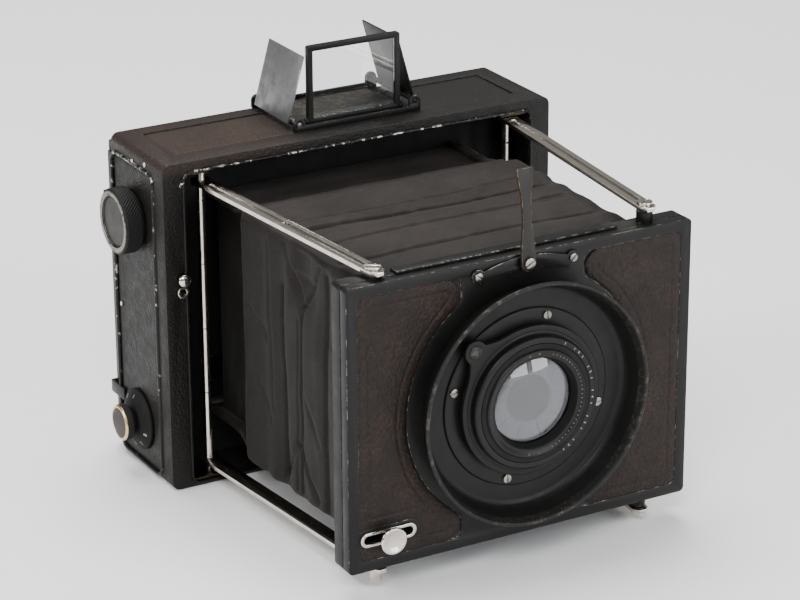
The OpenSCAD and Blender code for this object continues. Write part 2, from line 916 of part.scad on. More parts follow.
module finder_glass() {
    color([0.8, 0.85, 0.85, 0.3])
        box(finder_x - finder_w / 2 + 2, finder_x + finder_w / 2 - 2, pane_y - 0.4, pane_y + 0.4,
            body_h + 3.3, body_h + finder_h - 0.7);
}

// A side leaf: a thin plate beside its pin, with knuckles round the pin
module leaf(side) {
    i = side < 0 ? 0 : 1;
    y0 = pane_y + 1.4;
    y1 = y0 + leaf_d - 3;
    translate([pin_x[i], 0, pin_z[i]])
        rotate([0, side < 0 ? leaf_lean : -leaf_lean, 0]) {
            rod_along_y(0, 0, 0.8, finder_y + 0.1, finder_y + 35.9);
            box(min(side * 1.7, side * 2.4), max(side * 1.7, side * 2.4), y0, y1, -1.2, leaf_len);
            for (y = [y0 + 1, y1 - 4])
                box(min(0, side * 1.8), max(0, side * 1.8), y, y + 3, -0.8, 0.8);
        }
}

module left_leaf() {
    color([0.42, 0.42, 0.41])
        leaf(-1);
}

module right_leaf() {
    color([0.12, 0.12, 0.12])
        leaf(1);
}

body_shell();
top_leather();
left_side_leather();
right_side_leather();
base_leather();
tripod_bush();
rod_brackets();
case_pins();
release_socket();
light_baffle();
bearing_plates();
shutter_curtain();
back_rails();
back_catches();
strap_lugs();
hand_strap();
bellows();
standard_frame();
foot_rails();
lens_panel();
panel_leathers();
slot_rim();
lens_collar();
lens_flange();
flange_screws();
lever_bridge();
front_lever();
lever_screw();
lock_knob();
left_strut();
right_strut();
strut_stud();
left_foot_screws();
right_foot_screws();
focus_ring();
lens_barrel();
lens_bezel();
front_glass();
rear_glass();
iris_blades();
aperture_ring();
winding_knob();
winding_disc();
winding_gear();
upper_roller();
roller_gear();
lower_roller();
tension_dial();
tension_knob();
release_button();
finder_base();
finder_frame();
finder_glass();
left_leaf();
right_leaf();
back_frame();
ground_glass();
hood_cover();
hood_leather();
hood_hinge();
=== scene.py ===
# %% [markdown]
# # A strut-folding plate camera
# The object is a press camera of the 1920s for glass plates. Its front stands on four nickel struts, a soft
# leather-cloth bellows joins it to the body, and a focal-plane shutter sits at the back of the body.
# The CAD model fixes every size, so this lesson only makes surfaces and finishes around it, in metres.

# %% Load the fixed frame
import json
import math
import bmesh
import bpy
import numpy as np
from mathutils import Matrix, Vector
from mathutils.bvhtree import BVHTree

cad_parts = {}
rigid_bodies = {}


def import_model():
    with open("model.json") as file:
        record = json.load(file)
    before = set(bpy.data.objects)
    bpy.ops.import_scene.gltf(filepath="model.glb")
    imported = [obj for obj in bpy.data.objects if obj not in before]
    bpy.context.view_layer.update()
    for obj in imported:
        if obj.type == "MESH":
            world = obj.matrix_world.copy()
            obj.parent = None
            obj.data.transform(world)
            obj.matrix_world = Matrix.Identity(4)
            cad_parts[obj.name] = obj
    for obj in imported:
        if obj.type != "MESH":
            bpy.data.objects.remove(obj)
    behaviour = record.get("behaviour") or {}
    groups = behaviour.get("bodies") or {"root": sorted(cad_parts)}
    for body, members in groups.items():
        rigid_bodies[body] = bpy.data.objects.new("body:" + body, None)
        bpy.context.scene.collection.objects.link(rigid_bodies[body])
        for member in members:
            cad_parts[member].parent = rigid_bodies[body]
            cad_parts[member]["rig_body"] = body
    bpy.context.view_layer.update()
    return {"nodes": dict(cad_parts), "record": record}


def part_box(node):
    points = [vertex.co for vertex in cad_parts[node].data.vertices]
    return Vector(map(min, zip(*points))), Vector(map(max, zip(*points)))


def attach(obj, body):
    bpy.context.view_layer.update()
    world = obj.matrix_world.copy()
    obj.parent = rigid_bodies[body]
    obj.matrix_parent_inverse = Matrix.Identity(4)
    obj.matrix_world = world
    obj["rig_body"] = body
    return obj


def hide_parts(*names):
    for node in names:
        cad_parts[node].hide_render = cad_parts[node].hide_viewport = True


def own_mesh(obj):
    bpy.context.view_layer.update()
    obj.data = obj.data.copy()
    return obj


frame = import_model()
MM = 0.001

# %% [markdown]
# ## Places
# Every later step asks the frame where a part is, so nothing has to be fitted by eye. A node's box gives its
# middle and its faces. The lens axis is the middle of the dished collar, and it runs along Y.

# %% Places read from the frame
def low(node):
    """Lowest corner of a CAD node, as an array."""
    return np.array(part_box(node)[0], float)


def high(node):
    """Highest corner of a CAD node, as an array."""
    return np.array(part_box(node)[1], float)


def middle(node):
    """Middle of a CAD node's box."""
    return (low(node) + high(node)) / 2


BODY_LOW, BODY_HIGH = low("body_shell"), high("body_shell")
LENS = middle("lens_collar")
PANEL_LOW, PANEL_HIGH = low("lens_panel"), high("lens_panel")
PANEL_FACE = PANEL_LOW[1]
print("lens axis at", np.round(LENS, 4), "panel face at", round(PANEL_FACE, 4))

# %% [markdown]
# ## Making surfaces
# Most pieces here are either turned on a lathe or made of sheet. Both are a grid of points: a turned part
# is a
# profile carried round its axis, and sheet is a function of two distances. One helper turns a grid into a
# mesh.

# %% Grid to mesh
def grid_faces(rows, cols, wrap_rows, wrap_cols):
    """Quads between neighbours of a rows x cols grid; wrapping joins the last row or column to the first."""
    r = np.arange(rows if wrap_rows else rows - 1)
    c = np.arange(cols if wrap_cols else cols - 1)
    r, c = [a.ravel() for a in np.meshgrid(r, c, indexing="ij")]
    r2, c2 = (r + 1) % rows, (c + 1) % cols
    return np.stack([r * cols + c, r * cols + c2, r2 * cols + c2, r2 * cols + c], axis=1)


def build(name, points, faces, material, recalc=True, smooth_angle=35):
    """A mesh object from points and faces: doubles merged, normals outward, smooth up to an angle in
    degrees."""
    mesh = bpy.data.meshes.new(name)
    mesh.from_pydata(np.asarray(points).reshape(-1, 3).tolist(), [], np.asarray(faces).tolist())
    work = bmesh.new()
    work.from_mesh(mesh)
    bmesh.ops.remove_doubles(work, verts=work.verts, dist=2e-6)
    if recalc:
        bmesh.ops.recalc_face_normals(work, faces=work.faces)
    work.to_mesh(mesh)
    work.free()
    mesh.polygons.foreach_set("use_smooth", np.ones(len(mesh.polygons), bool))
    mesh.set_sharp_from_angle(angle=math.radians(smooth_angle))
    mesh.materials.append(material)
    piece = bpy.data.objects.new(name, mesh)
    bpy.context.scene.collection.objects.link(piece)
    return piece


def surface(name, grid, material, wrap_rows=False, wrap_cols=False, **options):
    """A grid of points (rows, columns, 3) as a piece."""
    rows, cols = grid.shape[:2]
    return build(name, grid, grid_faces(rows, cols, wrap_rows, wrap_cols), material, **options)


def mount(piece, body, slot, *nodes):
    """The piece rides on a body and stands for the CAD nodes named, which are hidden. slot is not used."""
    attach(piece, body)
    if nodes:
        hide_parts(*nodes)
    return piece


def apply_modifiers(piece):
    """Bakes the piece's modifiers into its mesh."""
    graph = bpy.context.evaluated_depsgraph_get()
    mesh = bpy.data.meshes.new_from_object(piece.evaluated_get(graph))
    piece.modifiers.clear()
    piece.data = mesh
    return piece


print("grid of 3 x 4 points has", len(grid_faces(3, 4, False, False)), "faces")

# %% [markdown]
# ## Turned parts
# A lathe leaves no perfectly sharp corner, and the small round at each edge is what catches the light. So a
# profile is given by its corners only, and each corner is rounded with a short curve before it is spun.

# %% Profiles and turning
def rounded(corners, radius, steps=4, closed=True):
    """Replaces each corner by a curve: point = (1-t)^2 start + 2t(1-t) corner + t^2 end, with start and end
    one radius away along each side, or less where a side is short."""
    pts = np.asarray(corners, float)
    count = len(pts)
    t = np.linspace(0, 1, steps)[:, None]
    out = []
    for i in range(count):
        here = pts[i]
        if not closed and i in (0, count - 1):
            out.append(here[None])
            continue
        a, b = pts[i - 1] - here, pts[(i + 1) % count] - here
        la, lb = np.linalg.norm(a), np.linalg.norm(b)
        start = here + a / la * min(radius, la * 0.45)
        end = here + b / lb * min(radius, lb * 0.45)
        out.append((1 - t) ** 2 * start + 2 * t * (1 - t) * here + t ** 2 * end)
    return np.concatenate(out)


AXES = {"-y": (Vector((0, -1, 0)), Vector((1, 0, 0)), Vector((0, 0, 1))),
        "-x": (Vector((-1, 0, 0)), Vector((0, 1, 0)), Vector((0, 0, 1))),
        "+z": (Vector((0, 0, 1)), Vector((1, 0, 0)), Vector((0, 1, 0))),
        "-z": (Vector((0, 0, -1)), Vector((1, 0, 0)), Vector((0, 1, 0)))}


def spin(profile, centre, axis="-y", steps=160, ripple=None):
    """Grid of a profile [radius, height] carried round an axis: centre + height * axis + radius * direction.
    ripple(angle, height, radius) is added to the radius, for knurls and flutes."""
    along, across, up = [np.array(v) for v in AXES[axis]]
    angle = np.linspace(0, 2 * math.pi, steps, endpoint=False)[None, :, None]
    radius = np.asarray(profile)[:, 0][:, None, None]
    height = np.asarray(profile)[:, 1][:, None, None]
    if ripple is not None:
        radius = radius + ripple(angle, height, radius)
    return np.asarray(centre) + height * along + radius * (np.cos(angle) * across + np.sin(angle) * up)


def turned(name, corners, centre, material, axis="-y", steps=160, edge=0.25, closed=True, ripple=None,
           scale=MM):
    """A turned piece from a profile's corners in millimetres."""
    profile = rounded(np.asarray(corners, float), edge, closed=closed) * scale
    grid = spin(profile, centre, axis, steps, ripple)
    return surface(name, grid, material, wrap_rows=closed, wrap_cols=True)


print("a square corner becomes", len(rounded([[0, 0], [4, 0], [4, 4], [0, 4]], 0.5)), "points")

# %% [markdown]
# ## Finishes
# Each finish is a small node tree. Object coordinates are used throughout because every piece keeps its
# place in
# its mesh, so grain and scratches have their real size and stay put when the camera folds.

# %% Node tree helpers
class Finish:
    """A material with short calls for the nodes used most. Values that are even all over go on the shader."""

    def __init__(self, name, **even):
        self.material = bpy.data.materials.new(name)
        self.material.use_nodes = True
        self.tree = self.material.node_tree
        self.shader = self.tree.nodes["Principled BSDF"]
        self.place = self.tree.nodes.new("ShaderNodeTexCoord").outputs["Object"]
        for socket, value in even.items():
            self.shader.inputs[socket.replace("_", " ")].default_value = value

    def node(self, kind, **inputs):
        made = self.tree.nodes.new("ShaderNode" + kind)
        for socket, value in inputs.items():
            self.feed(made.inputs[socket.replace("_", " ")], value)
        return made

    def feed(self, socket, value):
        if isinstance(value, bpy.types.NodeSocket):
            self.tree.links.new(value, socket)
        else:
            socket.default_value = value

    def stretched(self, scale):
        """Object coordinates multiplied along X, Y and Z, so that a pattern runs in one direction."""
        return self.node("Mapping", Vector=self.place, Scale=scale).outputs["Vector"]

    def noise(self, size, detail=3.0, roughness=0.55, vector=None):
        """Cloudy pattern whose features are about size metres across, from 0 to 1."""
        made = self.node("TexNoise", Vector=vector or self.place, Scale=1 / size, Detail=detail,
                         Roughness=roughness)
        return made.outputs["Fac"]

    def cells(self, size, feature="F1", randomness=1.0):
        """Distance to the middle of the nearest cell, for pebbles of about size metres."""
        made = self.node("TexVoronoi", Vector=self.place, Scale=1 / size, Randomness=randomness)
        made.feature = feature
        return made.outputs["Distance"]

    def ramp(self, value, stops):
        """Colours or greys blended between stops of (position, colour)."""
        made = self.node("ValToRGB", Fac=value)
        while len(made.color_ramp.elements) < len(stops):
            made.color_ramp.elements.new(0.5)
        for element, (position, colour) in zip(made.color_ramp.elements, stops):
            element.position = position
            grey = isinstance(colour, (int, float))
            element.color = (colour, colour, colour, 1) if grey else (*colour, 1)
        return made.outputs["Color"]

    def mix(self, factor, first, second):
        """Blend of two colours or values."""
        made = self.tree.nodes.new("ShaderNodeMix")
        made.data_type = "RGBA"
        self.feed(made.inputs["Factor"], factor)
        for socket, value in ((made.inputs[6], first), (made.inputs[7], second)):
            self.feed(socket, value if isinstance(value, bpy.types.NodeSocket) else (*value, 1))
        return made.outputs[2]

    def math(self, operation, first, second=0.0, clamp=False):
        made = self.tree.nodes.new("ShaderNodeMath")
        made.operation, made.use_clamp = operation, clamp
        self.feed(made.inputs[0], first)
        self.feed(made.inputs[1], second)
        return made.outputs[0]

    def bump(self, height, depth, strength=1.0, below=None):
        """Surface relief: height from 0 to 1 stands depth metres proud."""
        made = self.node("Bump", Height=height, Distance=depth, Strength=strength)
        if below is not None:
            self.feed(made.inputs["Normal"], below)
        self.tree.links.new(made.outputs["Normal"], self.shader.inputs["Normal"])
        return made.outputs["Normal"]

    def set(self, **sockets):
        for socket, value in sockets.items():
            self.feed(self.shader.inputs[socket.replace("_", " ")], value)
        return self.material


def leather(name, dark, worn, pebble, wear, gloss=0.45, worn_left=False):
    """Pebbled leather: smooth cells for the grain, big clouds for wear, and a brown or grey where it is
    rubbed.
    With worn_left the wear grows towards -X, on the top of the body only."""
    f = Finish(name, Specular_IOR_Level=0.2)
    grain = f.ramp(f.cells(pebble, "SMOOTH_F1"), [(0.05, 1.0), (0.62, 0.0)])
    rubbed = f.ramp(f.noise(0.016, 5, 0.62), [(0.5 - wear * 0.25, 0.0), (0.78 - wear * 0.2, 1.0)])
    specks = f.ramp(f.noise(0.0016, 3), [(0.55, 0.0), (0.72, 1.0)])
    tone = f.mix(f.noise(0.03, 4), dark, tuple(c * 1.9 for c in dark))
    on_top = f.math("MULTIPLY", rubbed, f.math("ADD", f.math("MULTIPLY", grain, 0.6),
                                               f.math("MULTIPLY", specks, 0.4)))
    amount = f.math("MULTIPLY", on_top, wear, clamp=True)
    if worn_left:
        across = f.node("SeparateXYZ", Vector=f.place).outputs["X"]
        height = f.node("SeparateXYZ", Vector=f.place).outputs["Z"]
        on_roof = f.ramp(f.math("MULTIPLY", height, 7.7), [(0.955, 0.0), (0.992, 1.0)])
        share = f.math("MULTIPLY", f.math("MULTIPLY", across, -14.0, clamp=True), on_roof)
        edge = f.math("ADD", share, f.math("MULTIPLY", f.noise(0.03, 4), 0.4))
        amount = f.math("MULTIPLY", f.ramp(edge, [(0.35, 0.06), (0.75, 1.0)]), f.math("ADD", amount, 0.3),
                        clamp=True)
    colour = f.mix(amount, tone, worn)
    rough = f.ramp(f.noise(0.004, 4), [(0.2, gloss - 0.1), (0.8, gloss + 0.16)])
    fine = f.bump(f.noise(0.00025, 2), 0.00003, 0.6)
    f.bump(grain, 0.00016, 1.0, below=fine)
    return f.set(Base_Color=colour, Roughness=rough)


def enamel(name, wear=0.0, bare=(0.36, 0.33, 0.3), tone=0.0045, gloss=0.3, worn_top=0.0):
    """Old black enamel: faint clouds, dust specks, hairline scratches, and bare metal where wear lets it
    show."""
    f = Finish(name, Specular_IOR_Level=0.2)
    clouds = f.noise(0.02, 4)
    base = f.mix(clouds, (tone, tone, tone), (tone * 1.9, tone * 1.75, tone * 1.6))
    specks = f.ramp(f.noise(0.0009, 2), [(0.7, 0.0), (0.76, 1.0)])
    base = f.mix(f.math("MULTIPLY", specks, 0.3), base, (0.05, 0.042, 0.036))
    scratch = f.ramp(f.noise(0.0012, 2, vector=f.stretched((0.05, 1.0, 1.0))), [(0.66, 0.0), (0.72, 1.0)])
    rough = f.ramp(f.noise(0.006, 5), [(0.25, gloss), (0.8, gloss + 0.22)])
    rough = f.mix(f.math("MULTIPLY", scratch, 0.5), rough, (0.6, 0.6, 0.6))
    f.bump(f.noise(0.0007, 3), 0.000012, 0.6)
    if wear:
        chips = f.math("ADD", f.noise(0.0022, 6, 0.7), f.math("MULTIPLY", f.noise(0.02, 3), 0.35))
        if worn_top:
            height = f.node("SeparateXYZ", Vector=f.place).outputs["Z"]
            near_top = f.ramp(f.math("MULTIPLY", height, 7.7), [(0.86, 0.0), (0.95, 1.0)])
            chips = f.math("ADD", chips, f.math("MULTIPLY", near_top, worn_top))
        chipped = f.ramp(chips, [(0.86 - wear * 0.4, 0.0), (0.90 - wear * 0.4, 1.0)])
        base = f.mix(chipped, base, bare)
        f.set(Metallic=f.math("MULTIPLY", chipped, 0.9))
    return f.set(Base_Color=base, Roughness=rough)


def metal(name, bright, dull, gloss=0.16, spread=0.2, brushed=(1, 1, 1), tarnish=0.35, spots=0.006):
    """Bare or plated metal: two tones in clouds, tarnish in patches, and fine lines along the brushing."""
    f = Finish(name, Metallic=1.0)
    patches = f.ramp(f.noise(spots, 5, 0.65), [(0.42, 0.0), (0.75, 1.0)])
    colour = f.mix(f.math("MULTIPLY", patches, tarnish), bright, dull)
    lines = f.noise(0.0006, 3, vector=f.stretched(brushed))
    rough = f.ramp(f.math("ADD", f.math("MULTIPLY", lines, 0.5), f.math("MULTIPLY", patches, 0.5)),
                   [(0.25, gloss), (0.85, gloss + spread)])
    f.bump(lines, 0.000006, 0.5)
    return f.set(Base_Color=colour, Roughness=rough)


def blackened(name, bare, wear):
    """Brass blackened with acid and rubbed through: dark brown with brass showing in patches."""
    f = Finish(name, Metallic=1.0)
    rubbed = f.ramp(f.noise(0.0025, 6, 0.68), [(0.66 - wear * 0.4, 0.0), (0.78 - wear * 0.35, 1.0)])
    dark = f.mix(f.noise(0.004, 3), (0.022, 0.019, 0.016), (0.06, 0.05, 0.04))
    rough = f.ramp(f.noise(0.003, 4), [(0.2, 0.26), (0.8, 0.5)])
    f.bump(f.noise(0.0005, 3), 0.00001, 0.5)
    return f.set(Base_Color=f.mix(rubbed, dark, bare), Roughness=rough)


def clear_glass(name, tint=(1.0, 1.0, 1.0), rough=0.0, coat=0.0):
    """Glass: it lets light through and bends it, and dust makes its gloss uneven by a hair."""
    f = Finish(name, Transmission_Weight=1.0, IOR=1.52, Coat_Weight=coat)
    dust = f.ramp(f.noise(0.004, 5), [(0.5, rough), (0.8, rough + 0.03)])
    return f.set(Base_Color=f.mix(f.noise(0.03, 2), tint, tuple(c * 0.97 for c in tint)), Roughness=dust)


# %% [markdown]
# ## The camera's own finishes
# The body is covered in black leather that has gone brown where hands held it. The front's two leather
# fields are
# a dark red-brown. The metalwork is black enamel, worn to bright metal along its edges, with nickel struts.

# %% Finishes of this camera
BODY_LEATHER = leather("body_leather", (0.0052, 0.0047, 0.0043), (0.045, 0.03, 0.022), 0.0008, 0.3)
TOP_LEATHER = leather("top_leather_worn", (0.006, 0.0055, 0.005), (0.062, 0.034, 0.022), 0.0008, 0.7, 0.5,
                      True)
FRONT_LEATHER = leather("front_leather", (0.0062, 0.0043, 0.0036), (0.075, 0.034, 0.02), 0.0010, 0.62, 0.5)
STRAP_LEATHER = leather("strap_leather", (0.014, 0.008, 0.006), (0.08, 0.04, 0.024), 0.0006, 0.5, 0.38)
BODY_EDGE = leather("body_leather_edge", (0.012, 0.009, 0.0075), (0.13, 0.085, 0.06), 0.0006, 0.9, 0.5)
CASE_LEATHER = leather("case_leather", (0.0052, 0.0047, 0.0043), (0.05, 0.03, 0.022), 0.0008, 0.3, 0.45, True)
ENAMEL = enamel("black_enamel")
ENAMEL_EDGE = enamel("black_enamel_edge", wear=0.38, bare=(0.19, 0.175, 0.155))
ENAMEL_FLAT = enamel("flat_black", tone=0.004, gloss=0.6)
GREY_FACE = enamel("grey_lacquer", wear=0.1, bare=(0.12, 0.12, 0.12), tone=0.017, gloss=0.35)
ENAMEL_RIM = enamel("black_enamel_rim", wear=0.72, bare=(0.22, 0.2, 0.17))
LEVER_STEEL = enamel("lever_steel", wear=0.06, bare=(0.11, 0.09, 0.06), tone=0.014, gloss=0.3)
SCREW_STEEL = metal("screw_steel", (0.30, 0.28, 0.25), (0.09, 0.08, 0.07), 0.25, 0.25, (1, 1, 1), 0.7)
NICKEL = metal("nickel", (0.66, 0.62, 0.56), (0.34, 0.28, 0.21), 0.13, 0.2, (1, 0.05, 1), 0.6)
STEEL = metal("worn_steel", (0.27, 0.27, 0.275), (0.10, 0.10, 0.105), 0.42, 0.25, (1, 1, 0.08), 0.8)
BRASS = metal("brass", (0.72, 0.54, 0.26), (0.3, 0.2, 0.09), 0.22, 0.25, (1, 1, 1), 0.6)
BLACK_BRASS = blackened("blackened_brass", (0.30, 0.22, 0.12), 0.06)
BLACK_BRASS_EDGE = blackened("blackened_brass_edge", (0.34, 0.23, 0.11), 0.5)
GLASS = clear_glass("lens_glass_clear", (0.97, 0.98, 1.0))
FINDER_GLASS = clear_glass("finder_glass_clear", (0.96, 0.98, 0.97))
GROUND_GLASS = clear_glass("ground_glass_matt", (0.9, 0.93, 0.92), 0.45)
print("finishes made:", len(bpy.data.materials))

# %% [markdown]
# ## Softening the CAD edges
# A CAD solid has knife edges that no worn camera has. A copy of the node is merged, its flat triangles are
# joined,
# and a narrow bevel is cut along every hard edge. The bevel has a material of its own, so paint can be worn
# through along the edges only, as it is on the real thing.

# %% Softened copies of CAD nodes
def close_joints(work, hairline):
    """Boards that stand a hairline apart become one skin: a face that looks across the hairline at another
    board is removed, and then the points on both sides are merged."""
    tree = BVHTree.FromBMesh(work)
    hidden = []
    for face in work.faces:
        start = face.calc_center_median() + face.normal * hairline * 0.01
        hit = tree.ray_cast(start, face.normal, hairline * 1.5)
        if hit[0] is not None:
            hidden.append(face)
    bmesh.ops.delete(work, geom=hidden, context="FACES")
    bmesh.ops.remove_doubles(work, verts=work.verts, dist=hairline * 1.5)
    print("joint faces closed:", len(hidden))


def softened(node, material, edge_material=None, width=0.25, segments=2, slot=None, name=None, hairline=0.0):
    """A merged and bevelled copy of a CAD node, with its width in millimetres."""
    source = frame["nodes"][node]
    work = bmesh.new()
    work.from_mesh(source.data)
    bmesh.ops.remove_doubles(work, verts=work.verts, dist=1e-6)
    if hairline:
        close_joints(work, hairline)
    bmesh.ops.dissolve_limit(work, angle_limit=math.radians(0.6), verts=work.verts, edges=work.edges)
    mesh = bpy.data.meshes.new(name or node + "_finished")
    work.to_mesh(mesh)
    work.free()
    mesh.materials.append(material)
    mesh.materials.append(edge_material or material)
    mesh.polygons.foreach_set("material_index", np.zeros(len(mesh.polygons), np.int32))
    piece = bpy.data.objects.new(mesh.name, mesh)
    bpy.context.scene.collection.objects.link(piece)
    bevel = piece.modifiers.new("edges", "BEVEL")
    bevel.width = width * MM
    bevel.segments = segments
    bevel.limit_method = "ANGLE"
    bevel.angle_limit = math.radians(40)
    bevel.material = 1
    bevel.use_clamp_overlap = True
    apply_modifiers(piece)
    piece.data.polygons.foreach_set("use_smooth", np.ones(len(piece.data.polygons), bool))
    piece.data.set_sharp_from_angle(angle=math.radians(32))
    body = source["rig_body"]
    return mount(piece, body, slot or SLOTS[node], node)


SLOTS = {part["node"]: part["material_slot"] for part in frame["record"]["subparts"]}
for node, finish, edge, width in (
        ("standard_frame", ENAMEL, ENAMEL_EDGE, 0.35),
        ("foot_rails", ENAMEL, ENAMEL_EDGE, 0.25),
        ("lens_panel", ENAMEL, ENAMEL_EDGE, 0.5),
        ("slot_rim", NICKEL, NICKEL, 0.25),
        ("lever_bridge", ENAMEL, ENAMEL_EDGE, 0.2),
        ("front_lever", LEVER_STEEL, BLACK_BRASS_EDGE, 0.14),
        ("lever_screw", SCREW_STEEL, SCREW_STEEL, 0.15),
        ("flange_screws", SCREW_STEEL, SCREW_STEEL, 0.12),
        ("left_strut", NICKEL, NICKEL, 0.22),
        ("right_strut", NICKEL, NICKEL, 0.22),
        ("left_foot_screws", NICKEL, NICKEL, 0.2),
        ("right_foot_screws", NICKEL, NICKEL, 0.2),
        ("rod_brackets", BLACK_BRASS, BLACK_BRASS_EDGE, 0.15),
        ("release_socket", NICKEL, NICKEL, 0.2),
        ("release_button", NICKEL, NICKEL, 0.2),
        ("case_pins", NICKEL, NICKEL, 0.15),
        ("tripod_bush", BRASS, BRASS, 0.25),
        ("strut_stud", NICKEL, NICKEL, 0.1),
        ("back_rails", ENAMEL, ENAMEL_EDGE, 0.3),
        ("back_catches", ENAMEL, ENAMEL_EDGE, 0.25),
        ("back_frame", ENAMEL, ENAMEL_EDGE, 0.35),
        ("hood_hinge", NICKEL, NICKEL, 0.25),
        ("hood_cover", ENAMEL, ENAMEL_EDGE, 0.3),
        ("strap_lugs", ENAMEL, ENAMEL_EDGE, 0.4),
        ("finder_base", ENAMEL, ENAMEL_EDGE, 0.15),
        ("finder_frame", ENAMEL, ENAMEL_EDGE, 0.2),
        ("left_leaf", STEEL, STEEL, 0.12),
        ("right_leaf", ENAMEL, ENAMEL_EDGE, 0.12),
        ("body_shell", CASE_LEATHER, BODY_EDGE, 0.35)):
    made = softened(node, finish, edge, width, hairline=0.04 * MM if node == "body_shell" else 0.0)
    print(node, "->", len(made.data.polygons), "faces")

# %% [markdown]
# ## Two more ways to make a surface
# A bead is a circle carried along a closed loop. A leather field is a height that depends on the distance
# from
# its own edge: it rises in a soft shoulder and has a tooled line pressed in a few millimetres inside it.

# %% Beads and fields
def round_loop(width, height, radius, count=360):
    """Evenly spaced points and outward directions of a rectangle with round corners: straight runs joined by
    quarter circles, measured along the line and shared out equally."""
    arc = np.linspace(0, math.pi / 2, 24)
    corners, outward = [], []
    for i, (sx, sy) in enumerate(((1, 1), (-1, 1), (-1, -1), (1, -1))):
        turn = arc + i * math.pi / 2
        ray = np.stack([np.cos(turn), np.sin(turn)], axis=1)
        corners.append([sx * (width / 2 - radius), sy * (height / 2 - radius)] + radius * ray)
        outward.append(ray)
    points, rays = np.concatenate(corners), np.concatenate(outward)
    points, rays = np.vstack([points, points[:1]]), np.vstack([rays, rays[:1]])
    run = np.concatenate([[0], np.cumsum(np.linalg.norm(np.diff(points, axis=0), axis=1))])
    want = np.linspace(0, run[-1], count, endpoint=False)
    place = np.stack([np.interp(want, run, points[:, k]) for k in (0, 1)], axis=1)
    ray = np.stack([np.interp(want, run, rays[:, k]) for k in (0, 1)], axis=1)
    return place, ray / np.linalg.norm(ray, axis=1, keepdims=True)


def bead(name, size, corner, radius, centre, plane, material, rise=1.0):
    """A half-round bead along a round-cornered rectangle. A point is the loop + radius * (cos a * outward +
    rise * sin a * normal). plane names the two directions the rectangle lies in, and its normal."""
    across, up, normal = [np.array(v, float) for v in plane]
    place, ray = round_loop(*size, corner)
    angle = np.linspace(0, 2 * math.pi, 12, endpoint=False)[None, :, None]
    line = (place[:, :1] * across + place[:, 1:] * up)[:, None]
    out = (ray[:, :1] * across + ray[:, 1:] * up)[:, None]
    grid = centre + MM * (line + radius * (np.cos(angle) * out + rise * np.sin(angle) * normal))
    return surface(name, grid, material, wrap_rows=True, wrap_cols=True, smooth_angle=80)


def rounded_box_distance(x, z, width, height, radius):
    """Distance inside a round-cornered rectangle: radius - length of the overshoot past the inner
    rectangle."""
    over_x = np.abs(x) - (width / 2 - radius)
    over_z = np.abs(z) - (height / 2 - radius)
    outside = np.hypot(np.maximum(over_x, 0), np.maximum(over_z, 0))
    return radius - outside - np.minimum(np.maximum(over_x, over_z), 0)


def soft_least(first, second, blend):
    """The lesser of two distances, with a round join: -blend * log(exp(-a/blend) + exp(-b/blend))."""
    least = np.minimum(first, second)
    return least - blend * np.log(np.exp(-(first - least) / blend) + np.exp(-(second - least) / blend))


def field(name, inside, spans, step, height, to_world, material):
    """A sheet over the area where inside(x, z) is positive. The grid's outermost points are moved onto the
    edge along the slope of the distance, and height(distance) lifts the sheet."""
    x, z = np.meshgrid(np.arange(spans[0], spans[1], step), np.arange(spans[2], spans[3], step),
                       indexing="ij")
    deep = inside(x, z)
    slope_x, slope_z = np.gradient(deep, step)
    steep = np.maximum(slope_x ** 2 + slope_z ** 2, 0.05)
    near = deep < 0.45 * step
    x = np.where(near, x - deep * slope_x / steep, x)
    z = np.where(near, z - deep * slope_z / steep, z)
    keep = (deep > -0.75 * step).ravel()
    faces = grid_faces(*deep.shape, False, False)
    faces = faces[keep[faces].all(axis=1)]
    used, faces = np.unique(faces, return_inverse=True)
    lift = height(np.maximum(np.where(near, 0, deep), 0))
    points = to_world(x.ravel()[used], lift.ravel()[used], z.ravel()[used])
    return build(name, points, faces.reshape(-1, 4), material, recalc=False, smooth_angle=60)


def tooled(distance, thick=0.45, line_at=4.0, shoulder=0.7):
    """Height of a leather field in millimetres: a soft shoulder, less a line pressed in at line_at."""
    rise = thick * (1 - np.exp(-distance / shoulder))
    return rise - 0.62 * thick * np.exp(-((distance - line_at) / 0.42) ** 2)


def letters(name, words, size, place, right, up, material, depth=0.02):
    """Flat generic figures, size millimetres high, centred on a place and facing right x up."""
    curve = bpy.data.curves.new(name, "FONT")
    curve.body, curve.size = words, size * MM
    curve.align_x, curve.align_y = "CENTER", "CENTER"
    curve.extrude = depth * MM
    holder = bpy.data.objects.new(name, curve)
    bpy.context.scene.collection.objects.link(holder)
    mesh = bpy.data.meshes.new_from_object(holder.evaluated_get(bpy.context.evaluated_depsgraph_get()))
    bpy.data.objects.remove(holder)
    right, up = Vector(right).normalized(), Vector(up).normalized()
    turn = Matrix((right, up, right.cross(up))).transposed().to_4x4()
    mesh.transform(Matrix.Translation(place) @ turn)
    mesh.materials.clear()
    mesh.materials.append(material)
    piece = bpy.data.objects.new(name, mesh)
    bpy.context.scene.collection.objects.link(piece)
    return piece


def joined(name, pieces):
    """Several pieces made one."""
    work = bmesh.new()
    materials = []
    for piece in pieces:
        before = len(work.faces)
        work.from_mesh(piece.data)
        work.faces.ensure_lookup_table()
        if piece.data.materials[0] not in materials:
            materials.append(piece.data.materials[0])
        for face in work.faces[before:]:
            face.material_index = materials.index(piece.data.materials[0])
        bpy.data.objects.remove(piece)
    mesh = bpy.data.meshes.new(name)
    work.to_mesh(mesh)
    work.free()
    for material in materials:
        mesh.materials.append(material)
    whole = bpy.data.objects.new(name, mesh)
    bpy.context.scene.collection.objects.link(whole)
    return whole


